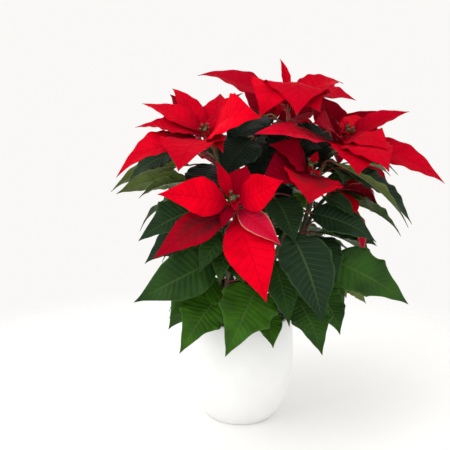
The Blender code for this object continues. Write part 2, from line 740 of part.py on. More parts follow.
def settle_blade(blade, node, crowd, choices):
    """The blade with the first bend that keeps it clear, or None."""
    for strict in (True, False):
        for bend in choices:
            turned_blade = blade.bent(bend)
            if crowd.sheet_fits(turned_blade, node, strict):
                crowd.add_sheet(node, sheet_tree(turned_blade, 0.0, 0.0, 0.0),
                                sheet_tree(turned_blade, ROOT_SHARE, 0.0, 0.0))
                return turned_blade
    return None


def stalk_path(blade, limb, shift):
    """A leaf stalk from its branch to its blade."""
    height = blade.root.z - STALK_DROP + shift
    start = min(limb[:-1], key=lambda point: abs(point.z - height))
    along = blade.chord().normalized()
    before = blade.root - along * (0.35 * (blade.root - start).length)
    return bezier([start, before, blade.root], STALK_STEPS)


def dense_path(path):
    """The path's points with more between them, for measuring distances."""
    dense = []
    for a, b in zip(path, path[1:]):
        steps = math.ceil((b - a).length / PATH_SPACING)
        dense += [a.lerp(b, i / steps) for i in range(steps)]
    return dense + [path[-1]]


def settle_stalk(blade, limbs, plants, crowd):
    """A clear stalk for a leaf, from the nearest branch that allows one."""
    def distance(name):
        return min((point - blade.root).length for point in limbs[name])

    for name in sorted(limbs, key=distance):
        node = "leafy_stem_" + plants[name]
        for shift in STALK_SHIFTS:
            path = stalk_path(blade, limbs[name], shift)
            if crowd.wire_fits(dense_path(path), STALK_RADIUS, node):
                return node, path
    return None, None


def build_bloom(head, bracts, collection, material):
    pieces = make_collection("pieces_" + head.name)
    for number, blade in enumerate(bracts):
        blade_object(f"bract_{number}", blade, pieces)
    core = tube_object("core", [head.foot(), head.top],
                       CORE_RADIUS - 0.8, CORE_RADIUS, 6, collection)
    return fuse("bracts_" + head.name, core, pieces, collection, material)


def build_buds(head, collection, material):
    """The knot of small buds that sits on top of a bloom's core."""
    axis = head.axis()
    base = head.top + axis * CONTACT_GAP
    pieces = make_collection("buds_" + head.name)
    side = axis.orthogonal().normalized()
    for number in range(head.buds):
        turn = Matrix.Rotation(math.tau * number / head.buds, 3, axis)
        spread = turn @ side
        lean = (axis + spread * 0.45).normalized()
        centre = base + spread * BUD_RING_RADIUS + axis * (0.6 + BUD_LENGTH)
        shape = bmesh.new()
        bmesh.ops.create_uvsphere(shape, u_segments=5, v_segments=3, radius=1.0)
        bmesh.ops.triangulate(shape, faces=shape.faces)
        mesh = mesh_from(shape, "bud")
        bud = add_object(f"bud_{number}", mesh, pieces)
        size = Matrix.Diagonal((BUD_RADIUS, BUD_RADIUS, BUD_LENGTH, 1.0 / MM)) * MM
        aim = lean.to_track_quat("Z", "Y").to_matrix().to_4x4()
        bud.matrix_world = Matrix.Translation(centre * MM) @ aim @ size
    seat_path = [base, base + axis * BUD_SEAT_HEIGHT]
    seat = tube_object("seat", seat_path, BUD_RING_RADIUS, BUD_RING_RADIUS + 0.8, 6, collection)
    return fuse("cyathia_" + head.name, seat, pieces, collection, material)


def build_plant(name, limbs, heads, leaves, collection, material):
    """A trunk with its branches, stalks and leaves, as one solid."""
    foot, top = TRUNKS[name]
    pieces = make_collection("pieces_" + name)
    for head in heads:
        if head.plant == name:
            path = limbs[head.name]
            tube_object("branch_" + head.name, path, BRANCH_RADIUS, BRANCH_TOP_RADIUS, 6, pieces)
    for number, blade in enumerate(leaves):
        blade_object(f"blade_{number}", blade, pieces)
    path = [foot, foot.lerp(top, 0.5), top]
    core = tube_object("trunk", path, TRUNK_RADIUS, TRUNK_TOP_RADIUS, 8, collection)
    return fuse("leafy_stem_" + name, core, pieces, collection, material)


def object_tree(obj):
    mesh = evaluated_copy(obj)
    points = [vertex.co / MM for vertex in mesh.vertices]
    return BVHTree.FromPolygons(points, [tuple(face.vertices) for face in mesh.polygons])


def main():
    clear_scene()
    parts = make_collection("poinsettia")
    cutters = make_collection("cutters")
    ceramic = make_material("white_ceramic", (0.88, 0.88, 0.87), 0.35)
    plastic = make_material("black_plastic", (0.03, 0.03, 0.03), 0.5)
    peat = make_material("potting_soil", (0.10, 0.06, 0.04), 0.95)
    green = make_material("green_leaf", (0.05, 0.16, 0.05), 0.45)
    red = make_material("red_bract", (0.70, 0.01, 0.02), 0.55)
    yellow = make_material("yellow_bud", (0.55, 0.55, 0.10), 0.5)

    pots = [build_cover_pot(parts, ceramic), build_nursery_pot(parts, plastic),
            build_soil(parts, cutters, peat)]
    heads = all_heads()
    plants = {head.name: head.plant for head in heads}
    limbs = limb_paths()
    crowd = Crowd()
    for pot in pots:
        tree = object_tree(pot)
        crowd.add_sheet(pot.name, tree, tree)
    for name, (foot, top) in TRUNKS.items():
        crowd.add_wire("leafy_stem_" + name, [top.lerp(foot, 0.4), top], TRUNK_RADIUS)
    for name, path in limbs.items():
        crowd.add_wire("leafy_stem_" + plants[name], path, BRANCH_RADIUS)
    for head in heads:
        crowd.add_wire("bracts_" + head.name, [head.foot(), head.top], CORE_RADIUS)
        knot = [head.top, head.top + head.axis() * BUD_KNOT_HEIGHT]
        crowd.add_wire("cyathia_" + head.name, knot, BUD_KNOT_RADIUS)

    choices = bends()
    blooms = {}
    for head in heads:
        node = "bracts_" + head.name
        blooms[head.name] = []
        for blade in head.bracts():
            placed = settle_blade(blade, node, crowd, choices)
            if placed:
                blooms[head.name].append(placed)
            else:
                print("no place for a bract of", head.name)
    leaves = {name: [] for name in TRUNKS}
    for blade in list(FRONT_LEAVES) + back_leaves():
        node, path = settle_stalk(blade, limbs, plants, crowd)
        if not path:
            print("no stalk for the leaf at", tuple(blade.root))
            continue
        placed = settle_blade(blade, node, crowd, choices)
        if not placed:
            print("no place for the leaf at", tuple(blade.root))
            continue
        crowd.add_wire(node, path, STALK_RADIUS)
        leaves[node.removeprefix("leafy_stem_")].append(replace(placed, stalk=tuple(path[:-1])))

    for name in TRUNKS:
        build_plant(name, limbs, heads, leaves[name], parts, green)
    for head in heads:
        build_bloom(head, blooms[head.name], parts, red)
        build_buds(head, parts, yellow)


main()
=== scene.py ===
"""The looks of a poinsettia in a white cover pot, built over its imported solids.

The plant's plan repeats the tables of the solids. Each leaf and bract is found again in
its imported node, so that the fine blade grows where the plain one does, and then gets its
veins, its soft folds, its round stalk and its colour. Small young leaves and bracts grow
here alone, clear of everything else.
Tables are in millimetres and degrees, meshes are in metres, and +Z is up.
"""

import logging
import math
import random
from dataclasses import dataclass, field, replace
from enum import Enum
from typing import Callable, Iterable, Optional, Sequence

import bmesh
import bpy
import numpy as np
from bpy.types import Material, Mesh, Node, NodeTree, Object
from bpy.types import NodeSocket as Socket
from mathutils import Matrix, Vector, noise
from mathutils.bvhtree import BVHTree


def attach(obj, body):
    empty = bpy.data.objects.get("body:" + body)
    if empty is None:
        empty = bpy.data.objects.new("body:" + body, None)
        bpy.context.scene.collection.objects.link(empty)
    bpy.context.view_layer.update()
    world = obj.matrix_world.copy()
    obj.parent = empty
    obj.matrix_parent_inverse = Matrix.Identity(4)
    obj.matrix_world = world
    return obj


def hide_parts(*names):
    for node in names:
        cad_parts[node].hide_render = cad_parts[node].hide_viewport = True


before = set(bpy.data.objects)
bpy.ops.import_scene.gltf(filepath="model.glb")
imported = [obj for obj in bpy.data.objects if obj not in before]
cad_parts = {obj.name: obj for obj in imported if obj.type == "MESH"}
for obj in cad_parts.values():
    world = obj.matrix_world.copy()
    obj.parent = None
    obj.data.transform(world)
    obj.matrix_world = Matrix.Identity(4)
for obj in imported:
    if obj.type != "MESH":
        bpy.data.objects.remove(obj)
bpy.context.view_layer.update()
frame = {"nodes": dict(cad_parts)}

MM = 0.001
UP = Vector((0.0, 0.0, 1.0))
INTO_PICTURE = Vector((0.0, 1.0, 0.0))
BODY = "root"
Colour = tuple[float, float, float]
Place = tuple[float, float, float]
Span = tuple[float, float]
Ramp = tuple[float, float, float, float]
Limb = tuple[list[Vector], list[float]]
Painted = tuple[Socket, Socket]
Sockets = dict[str, Socket]
Heights = Callable[[float, float, float], float]
Faces = list[tuple[int, ...]]
log = logging.getLogger("poinsettia")

# The plan's rules, as in the solids
SOIL_TOP = 123.0
STEM_DEPTH = 28.0
TRUNK_RADII = (5.0, 4.4)
BRANCH_RADII = (3.4, 2.4)
BRANCH_SINK = 14.0
LIMB_STEPS = 5
NECK_LENGTH = 6.0
NECK_LEAD = 0.3
STALK_RADIUS = 1.1
STALK_STEPS = 2
STALK_DROP = 14.0
STALK_LEAD = 0.35
STALK_SHIFTS = (0.0, -12.0, 12.0, -24.0, 24.0, -40.0, 40.0, -60.0)
CORE_LENGTH = 32.0
CORE_RADIUS = 3.6
CORE_END = 3.0
FIRST_BRACT_DEPTH = 14.0
BRACT_SPACING = 1.6
ROOT_OFFSET = 0.4
LEAN_LIMITS = (0.3, 1.5)
BUD_CLEARANCE = 11.0
BUD_LENGTH = 3.2
BUD_RING_RADIUS = 3.8
CONTACT_GAP = 0.3
PLANT_MIDDLE = Vector((15.0, 0.0, 240.0))
UPWARD_SHARE = 0.8
EDGE_WAVES = 2.0
HINGE_LIMIT = 0.2
DEPTH_BENDS = (0.0, 5.0, -5.0, 10.0, -10.0, 16.0, -16.0, 24.0, -24.0, 34.0, -34.0)
SWING_BENDS = (0.0, 4.0, -4.0, 9.0, -9.0, 16.0, -16.0)
ROLL_BENDS = (0.0, 12.0, -12.0, 25.0, -25.0, 45.0, -45.0)
SWING_COST = 2.5
ROLL_COST = 0.5

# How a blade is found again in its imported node
MATCH_START = 0.25
MATCH_REACH = 0.75

# Fine blades, their outlines and their midribs
OUTLINE_PLACES = 241
SOFTENING_PASSES = 3
VEIN_SLANT = 0.15
SIDE_OFFSET = 0.4
FOLD_SOFTNESS = 0.08
RIB_END = 0.82
RIB_DEPTH = 0.3
RIB_SINK = 0.7
RIB_SINK_SPAN = 0.2
YOUNG_SPACING = 3.5


class Outline(Enum):
    """A blade's outline: places along it and half widths there, as shares."""

    TOOTHED_LEAF = ((0.0, 0.10), (0.10, 0.56), (0.32, 1.0), (0.39, 0.86), (0.54, 0.88),
                    (0.62, 0.60), (0.82, 0.28), (1.0, 0.0))
    PLAIN_LEAF = ((0.0, 0.10), (0.12, 0.62), (0.34, 1.0), (0.58, 0.86), (0.81, 0.36), (1.0, 0.0))
    WIDE_BRACT = ((0.0, 0.07), (0.09, 0.08), (0.27, 0.72), (0.48, 1.0), (0.74, 0.60), (1.0, 0.0))
    SLIM_BRACT = ((0.0, 0.10), (0.12, 0.14), (0.34, 0.80), (0.55, 1.0), (0.78, 0.55), (1.0, 0.0))

    def fine(self) -> tuple[np.ndarray, np.ndarray]:
        """The softened outline.

        Returns:
            Places along the blade and half widths there, finely spaced.
        """
        places, halves = zip(*FINE_OUTLINES[self])
        share = np.linspace(0.0, 1.0, OUTLINE_PLACES)
        half = np.interp(share, places, halves)
        for _ in range(SOFTENING_PASSES):
            half[2:-2] = (half[:-4] + half[1:-3] + half[2:-2] + half[3:-1] + half[4:]) / 5.0
        return share, half


FINE_OUTLINES = {
    Outline.TOOTHED_LEAF: (
        (0.0, 0.05), (0.03, 0.24), (0.10, 0.62), (0.20, 0.86), (0.31, 0.98), (0.335, 1.03),
        (0.36, 0.90), (0.41, 0.86), (0.48, 0.87), (0.545, 0.93), (0.57, 0.76), (0.63, 0.60),
        (0.72, 0.42), (0.82, 0.28), (0.92, 0.10), (1.0, 0.0)),
    Outline.PLAIN_LEAF: (
        (0.0, 0.05), (0.03, 0.26), (0.12, 0.66), (0.22, 0.90), (0.34, 1.01), (0.46, 0.97),
        (0.58, 0.84), (0.70, 0.59), (0.81, 0.34), (0.91, 0.12), (1.0, 0.0)),
    Outline.WIDE_BRACT: (
        (0.0, 0.06), (0.08, 0.07), (0.13, 0.20), (0.20, 0.52), (0.28, 0.76), (0.38, 0.94),
        (0.48, 1.01), (0.60, 0.90), (0.74, 0.60), (0.86, 0.29), (0.94, 0.10), (1.0, 0.0)),
    Outline.SLIM_BRACT: (
        (0.0, 0.10), (0.12, 0.14), (0.20, 0.42), (0.34, 0.80), (0.55, 1.0), (0.68, 0.80),
        (0.78, 0.55), (0.90, 0.20), (1.0, 0.0)),
}


class Tint(Enum):
    """How a blade is coloured: tone, turning and pale shares."""

    # The darker reds are partly the bracts' own colour and partly painted shade: bracts that face
    # away from the light, or stand in shade inside a bloom, are given RUBY or CRIMSON.
    SCARLET = (0.04, 0.0, 0.0)
    RED = (0.34, 0.0, 0.0)
    RUBY = (0.52, 0.0, 0.0)
    CRIMSON = (0.82, 0.0, 0.0)
    TURNING = (0.68, 1.0, 0.0)
    CHANGING = (0.46, 0.95, 0.0)
    # PINK gives a rosier margin: partly the bract's own paler edge, partly a painted highlight
    # where the margin catches the light.
    PINK = (0.10, 0.0, 0.35)
    ROSY = (0.35, 0.10, 0.75)
    DEEP_GREEN = (0.0, 0.0, 0.0)
    MID_GREEN = (0.45, 0.0, 0.0)
    FRESH_GREEN = (1.0, 0.0, 0.0)
    # Painted shade: SHADED_GREEN uses the turning share to darken leaves deep inside the plant,
    # where they stand in shade.
    SHADED_GREEN = (0.0, 0.75, 0.0)
    OLIVE = (0.6, 0.0, 0.8)


def between(span: Span, share: float) -> float:
    """The value at a share of the way through a span."""
    return span[0] + (span[1] - span[0]) * share


def hump(share: np.ndarray) -> np.ndarray:
    """A rise that is 0 at both ends and 1 in the middle."""
    return 4.0 * share * (1.0 - share)


@dataclass(frozen=True)
class Blade:
    """One leaf or bract: where it starts and ends, how it faces, curves and is coloured."""

    root: Vector
    tip: Vector
    width: float
    front: float = 0.0
    arch: float = 0.10
    fold: float = 14.0
    wave: float = 0.10
    outline: Outline = Outline.PLAIN_LEAF
    tint: Tint = Tint.SCARLET
    roll: float = 0.0
    stalk: tuple[Vector, ...] = ()

    def chord(self) -> Vector:
        """The straight line from the root to the tip."""
        return self.tip - self.root

    def axes(self) -> tuple[Vector, Vector]:
        """The blade's own directions.

        Returns:
            The way across it, and the way out of its upper face.
        """
        along = self.chord().normalized()
        outward = ((self.root + self.tip) / 2.0 - PLANT_MIDDLE).normalized() + UP * UPWARD_SHARE
        outward -= INTO_PICTURE * self.front
        face = (outward - along * outward.dot(along)).normalized()
        face = Matrix.Rotation(math.radians(self.roll), 3, along) @ face
        return along.cross(face), face

    def surface(self, share: np.ndarray, side: np.ndarray, half: np.ndarray,
                soft: float = 0.0) -> np.ndarray:
        """Points of the blade's middle surface.

        Args:
            share: Places along the blade, from 0 to 1.
            side: Places across it, from -1 to 1.
            half: Half widths at those places, in millimetres.
            soft: How wide the fold along the midrib is rounded, as a share of the half width.

        Returns:
            The points, in millimetres, in an array with one more axis of 3.
        """
        across, face = (np.array(axis) for axis in self.axes())
        rise = self.arch * self.chord().length * hump(share)
        out = np.sqrt(side ** 2 + soft ** 2) - soft
        fold = math.radians(self.fold)
        wave = np.sin(EDGE_WAVES * math.tau * share + np.sign(side))
        lift = half * out * (math.sin(fold) + self.wave * wave)
        rib = np.array(self.root) + share[..., None] * np.array(self.chord())
        sideways = (side * half * math.cos(fold))[..., None] * across
        return rib + sideways + (rise + lift)[..., None] * face

    def rib(self, start: float, count: int, radii: Span) -> Limb:
        """The midrib, which sinks to the under side past the root.

        Args:
            start: Where along the blade it starts.
            count: How many points it has.
            radii: Its radius at the start and at the end, in millimetres.

        Returns:
            The midrib's points and its radius at each.
        """
        _across, face = self.axes()
        share = np.linspace(start, RIB_END, count)
        flat = self.surface(share, np.zeros_like(share), np.zeros_like(share))
        path, sizes = [], []
        for i, (point, place) in enumerate(zip(flat, share)):
            radius = between(radii, i / (count - 1))
            sinking = min(place / RIB_SINK_SPAN, 1.0)
            depth = RIB_DEPTH + (RIB_SINK * radius - RIB_DEPTH / 2.0) * sinking
            path.append(Vector(point) - face * depth)
            sizes.append(radius)
        return path, sizes

    def landmarks(self) -> list[Vector]:
        """Points by which the plain blade is known again.

        Returns:
            Points past its root, on both edges and the midrib, in millimetres.
        """
        places, halves = zip(*[pair for pair in self.outline.value if pair[0] > MATCH_START])
        share = np.array(places)[:, None] * np.ones(3)
        half = np.array(halves)[:, None] * np.ones(3) * self.width / 2.0
        side = np.ones(len(places))[:, None] * np.array([-1.0, 0.0, 1.0])
        return [Vector(point) for point in self.surface(share, side, half).reshape(-1, 3)]

    def bent(self, bend: Place) -> "Blade":
        """The same blade turned about its root.

        Args:
            bend: The turns in depth, in the picture and about its own length, in degrees.

        Returns:
            The turned blade.
        """
        depth, swing, roll = bend
        chord = self.chord()
        hinge = INTO_PICTURE.cross(chord)
        if hinge.length < HINGE_LIMIT * chord.length:
            hinge = Vector((1.0, 0.0, 0.0))
        chord = Matrix.Rotation(math.radians(depth), 3, hinge.normalized()) @ chord
        chord = Matrix.Rotation(math.radians(swing), 3, INTO_PICTURE) @ chord
        return replace(self, tip=self.root + chord, roll=self.roll + roll)


@dataclass(frozen=True)
class Head:
    """A bloom's place: the top of its core, the way it looks, its plant and its bracts."""

    name: str
    plant: str
    top: Vector
    looks: Vector
    tips: tuple[Blade, ...]
    buds: int = 5

    def axis(self) -> Vector:
        """The way the bloom looks."""
        return self.looks.normalized()

    def foot(self) -> Vector:
        """The lower end of the bloom's core."""
        return self.top - self.axis() * CORE_LENGTH

    def lean(self, spec: Blade) -> float:
        """The angle between a bract and the bloom's axis, in radians."""
        return (spec.tip - self.top).angle(self.axis())

    def bracts(self) -> list[Blade]:
        """The bracts with their roots set on the core.

        Returns:
            The bracts, the most upright first and rooted nearest the buds.
        """
        placed = []
        low, high = LEAN_LIMITS
        for order, spec in enumerate(sorted(self.tips, key=self.lean)):
            clear = BUD_CLEARANCE / math.tan(min(max(self.lean(spec), low), high))
            depth = max(FIRST_BRACT_DEPTH + BRACT_SPACING * order, clear)
            depth = min(depth, CORE_LENGTH - CORE_END)
            aside = (spec.tip - self.top).normalized().cross(self.axis()).cross(self.axis())
            shift = aside.normalized() * (ROOT_OFFSET * CORE_RADIUS)
            placed.append(replace(spec, root=self.top - self.axis() * depth - shift))
        return placed


def mm(x: float, y: float, z: float) -> Vector:
    """A place in millimetres."""
    return Vector((x, y, z))


def bract(x: float, y: float, z: float, width: float, front: float = 0.5, arch: float = 0.12,
          fold: float = 12.0, outline: Outline = Outline.WIDE_BRACT,
          tint: Tint = Tint.RED) -> Blade:
    """A bract that ends at x, y, z. Its root is set later, on its bloom's core."""
    return Blade(mm(0.0, 0.0, 0.0), mm(x, y, z), width, front, arch, fold, 0.06, outline, tint)


def leaf(root: tuple, tip: tuple, width: float, front: float = 1.0, arch: float = 0.10,
         outline: Outline = Outline.PLAIN_LEAF, tint: Tint = Tint.DEEP_GREEN) -> Blade:
    """A leaf between two places, in millimetres."""
    return Blade(mm(*root), mm(*tip), width, front, arch, 14.0, 0.10, outline, tint)


TOOTHED = Outline.TOOTHED_LEAF
PLAIN = Outline.PLAIN_LEAF
SLIM = Outline.SLIM_BRACT

TRUNKS = {
    "left": (mm(-20, -12, SOIL_TOP - STEM_DEPTH), mm(-24, -16, 158)),
    "right": (mm(20, -8, SOIL_TOP - STEM_DEPTH), mm(26, -10, 160)),
    "back": (mm(2, 26, SOIL_TOP - STEM_DEPTH), mm(2, 30, 156)),
}

# Where a branch bulges on its way from its trunk to its bloom
ELBOWS = {
    "a": mm(-40, -30, 265),
    "b": mm(35, 4, 290),
    "c": mm(95, -15, 240),
    "d": mm(-14, -40, 235),
    "e": mm(45, -30, 260),
    "f": mm(95, 20, 235),
    "p": mm(-50, 60, 265),
    "q": mm(35, 90, 285),
    "r": mm(95, 70, 250),
}

HEADS = (
    Head("a", "left", mm(-45, -60, 387), mm(-0.35, -0.55, 0.75), (
        bract(-148, -100, 337, 62, 0.6, 0.14),
        bract(-132, -45, 389, 46, 0.9, 0.12),
        bract(-127, -15, 419, 36, 0.5, 0.10),
        bract(-90, 10, 444, 30, 0.3, 0.05, tint=Tint.RUBY),
        bract(18, -118, 403, 74, 1.4, 0.18, tint=Tint.SCARLET),
        bract(-72, -145, 343, 80, 0.3, 0.14),
        bract(-24, -125, 366, 26, 0.3, 0.10, 16, SLIM),
        bract(-27, 20, 434, 44, 0.5, 0.08),
    )),
    Head("b", "right", mm(62, -2, 430), mm(0, -0.35, 0.94), (
        bract(-56, 30, 465, 54, 0.9, 0.05, tint=Tint.RUBY),
        bract(54, 40, 483, 15, 0.4, 0.04, 30, SLIM, Tint.RUBY),
        bract(140, 45, 452, 54, 0.7, 0.16),
        bract(18, -92, 400, 80, 0.6, 0.34, 2),
        bract(60, -104, 393, 84, 0.6, 0.36, -8, tint=Tint.RUBY),
        bract(138, -48, 425, 60, 0.9, 0.10, tint=Tint.RUBY),
        bract(90, -88, 406, 60, 0.7, 0.24, -4, tint=Tint.RUBY),
        bract(95, 110, 448, 56, 0, 0.10),
        bract(12, 100, 446, 54, 0, 0.10),
    )),
    Head("c", "right", mm(134, -30, 386), mm(0.45, -0.50, 0.75), (
        bract(214, -15, 411, 34, 0.6, 0.05, 16, tint=Tint.RUBY),
        bract(176, -68, 364, 64, 1.2, 0.16, 4),
        bract(166, -98, 345, 78, 1.2, 0.16, -4),
        bract(263, -20, 319, 52, 1.2, 0.10, tint=Tint.RUBY),
        bract(12, -122, 386, 44, 0.3, 0.04, 8, tint=Tint.PINK),
        bract(84, -74, 396, 60, 1.2, 0.10, tint=Tint.CRIMSON),
        bract(190, 60, 396, 50, 0, 0.10),
        bract(129, -112, 350, 62, 1.2, 0.14, -6),
    )),
    Head("d", "left", mm(-12, -125, 312), mm(-0.05, -0.80, 0.60), (
        bract(-94, -146, 319, 46, 2, 0.12, tint=Tint.SCARLET),
        bract(39, -160, 335, 44, 2, -0.04, tint=Tint.SCARLET),
        bract(-31, -122, 354, 16, 0.5, 0.02, 16, SLIM, Tint.RUBY),
        bract(4, -100, 347, 44, 0.6, 0.06, tint=Tint.CRIMSON),
        bract(24, -170, 203, 58, 0.5, 0.10, tint=Tint.SCARLET),
        bract(-100, -156, 248, 42, 1.2, 0.06, tint=Tint.TURNING),
        bract(40, -158, 264, 30, 1, 0.08, tint=Tint.ROSY),
    ), 3),
    Head("e", "right", mm(82, -72, 346), mm(0, -0.70, 0.65), (
        bract(70, -128, 297, 74, 0.8, 0.08, tint=Tint.CHANGING),
        bract(20, -100, 328, 58, 0.9, 0.16, tint=Tint.CRIMSON),
        bract(34, -92, 370, 50, 1, 0.10, tint=Tint.CRIMSON),
    ), 3),
    Head("f", "right", mm(134, 4, 318), mm(0.50, -0.55, 0.65), (
        bract(183, -8, 279, 42, -0.5, 0.22, tint=Tint.ROSY),
        bract(143, -48, 278, 28, 0.8, 0.10, 14, SLIM),
        bract(155, -50, 231, 30, 0.8, 0.10, 14, SLIM, Tint.ROSY),
        bract(190, 50, 300, 36, 0, 0.12, tint=Tint.CRIMSON),
    ), 3),
)

FRONT_LEAVES = (
    leaf((-71, -40, 362), (-141, -50, 325), 44),
    leaf((-68, 10, 340), (-171, -10, 309), 46, -0.7, tint=Tint.OLIVE),
    leaf((-78, 30, 322), (-170, 25, 300), 42, -0.7, tint=Tint.OLIVE),
    leaf((-66, 20, 318), (-136, 0, 298), 38, -0.5, tint=Tint.OLIVE),
    leaf((-45, -70, 293), (-124, -95, 257), 56, 1.2, 0.12, TOOTHED),
    leaf((-52, -50, 262), (-122, -62, 223), 44),
    leaf((-32, -60, 226), (-131, -95, 182), 60, 1.2, 0.12, tint=Tint.MID_GREEN),
    leaf((-29, -46, 198), (-90, -80, 158), 54, 1.2, 0.10, tint=Tint.FRESH_GREEN),
    leaf((-45, -20, 185), (-96, -35, 128), 46, tint=Tint.MID_GREEN),
    leaf((-28, -58, 180), (-78, -118, 124), 64, 0.8, 0.10, TOOTHED, Tint.FRESH_GREEN),
    leaf((18, -78, 196), (-21, -148, 133), 74, 0.4, 0.12, TOOTHED, Tint.FRESH_GREEN),
    leaf((30, -74, 166), (37, -105, 128), 34, tint=Tint.FRESH_GREEN),
    leaf((66, -70, 182), (92, -130, 128), 64, 0.6, 0.10, TOOTHED, Tint.MID_GREEN),
    leaf((56, -100, 268), (88, -150, 173), 66, 0.5, 0.10),
    leaf((38, -76, 230), (55, -118, 157), 40, tint=Tint.MID_GREEN),
    leaf((108, -60, 228), (203, -88, 178), 64, 1.4, 0.10, TOOTHED, Tint.MID_GREEN),
    leaf((96, -30, 186), (126, -60, 129), 48, tint=Tint.MID_GREEN),
    leaf((105, -5, 196), (138, -18, 148), 36, tint=Tint.FRESH_GREEN),
    leaf((132, 24, 186), (176, 22, 146), 34, tint=Tint.OLIVE),
    leaf((120, 10, 212), (145, 2, 161), 32, tint=Tint.OLIVE),
    leaf((116, -50, 346), (204, -72, 270), 46, -0.4, 0.08, tint=Tint.OLIVE),
    leaf((132, 0, 336), (221, -26, 266), 52, 0.8, 0.10),
    leaf((140, 4, 292), (214, -14, 255), 46, 0.4, tint=Tint.MID_GREEN),
    leaf((84, -56, 285), (165, -72, 252), 48, 1),
    leaf((104, -22, 270), (176, -36, 237), 44, 0.6),
    leaf((160, 50, 340), (214, 62, 322), 36, 0.3, tint=Tint.OLIVE),
    leaf((12, -58, 376), (-25, -92, 330), 56, tint=Tint.SHADED_GREEN),
    leaf((30, -30, 404), (-14, -60, 374), 50, tint=Tint.SHADED_GREEN),
    leaf((104, -46, 304), (140, -66, 280), 30),
    leaf((-14, -74, 290), (-56, -110, 282), 36),
    leaf((-50, -14, 248), (-94, -34, 224), 50, tint=Tint.MID_GREEN),
    leaf((0, -82, 296), (26, -112, 268), 40),
    leaf((-34, -50, 344), (-58, -100, 300), 50, tint=Tint.SHADED_GREEN),
    leaf((40, -56, 304), (62, -112, 252), 50),
    leaf((88, -44, 254), (112, -98, 206), 50),
    leaf((124, 10, 360), (84, -40, 330), 54, tint=Tint.SHADED_GREEN),
    leaf((22, 0, 400), (-14, -50, 356), 50, tint=Tint.SHADED_GREEN),
    leaf((74, -10, 342), (36, -66, 312), 56, tint=Tint.SHADED_GREEN),
    leaf((66, 18, 392), (30, -30, 366), 56, tint=Tint.SHADED_GREEN),
    leaf((112, 12, 384), (62, -20, 352), 58, tint=Tint.SHADED_GREEN),
    leaf((100, 20, 330), (136, -20, 318), 44, tint=Tint.SHADED_GREEN),
    leaf((-12, 30, 290), (-40, 10, 222), 60),
    leaf((-10, 40, 235), (-25, 24, 172), 56),
    leaf((60, 0, 380), (40, -30, 335), 50, tint=Tint.SHADED_GREEN),
    leaf((30, -10, 370), (14, -60, 318), 54, tint=Tint.SHADED_GREEN),
    leaf((44, -10, 325), (34, -50, 275), 50, tint=Tint.SHADED_GREEN),
)

# Blooms and leaves on the far side follow a rule
BACK_HEADS = (
    ("p", "back", mm(-62, 92, 376), mm(-0.55, 0.55, 0.63)),
    ("q", "back", mm(45, 135, 398), mm(0.05, 0.66, 0.75)),
    ("r", "back", mm(148, 100, 366), mm(0.60, 0.52, 0.60)),
)
BACK_BRACTS = 6
BACK_BUDS = 3
GOLDEN_ANGLE = math.radians(137.5)
BACK_REACH = (70.0, 118.0)
BACK_REACH_SPREAD = (-6.0, 6.0)
BACK_WIDTH = (36.0, 62.0)
BACK_LEAN = (58.0, 104.0)
BACK_SEED = 12

# Height, number of leaves, distance out, length and droop
LEAF_RINGS = (
    (352.0, 4, 92.0, 92.0, 16.0),
    (306.0, 5, 80.0, 104.0, 26.0),
    (256.0, 4, 66.0, 108.0, 36.0),
    (206.0, 5, 54.0, 104.0, 44.0),
)
RING_ARC = (-8.0, 196.0)
RING_MIDDLE = Vector((35.0, 10.0, 0.0))
RING_TURN_SPREAD = (-0.08, 0.08)
RING_HEIGHT_SPREAD = (-8.0, 8.0)
RING_DROOP_SPREAD = (-6.0, 6.0)
RING_SLIMNESS = (0.50, 0.60)


def bezier(points: Sequence[Vector], steps: int) -> list[Vector]:
    """Points along a Bezier curve of any degree.

    Args:
        points: The curve's control points.
        steps: How many steps it is drawn in.

    Returns:
        The points, both ends included.
    """
    path = []
    for i in range(steps + 1):
        level = list(points)
        while len(level) > 1:
            level = [a.lerp(b, i / steps) for a, b in zip(level, level[1:])]
        path.append(level[0])
    return path


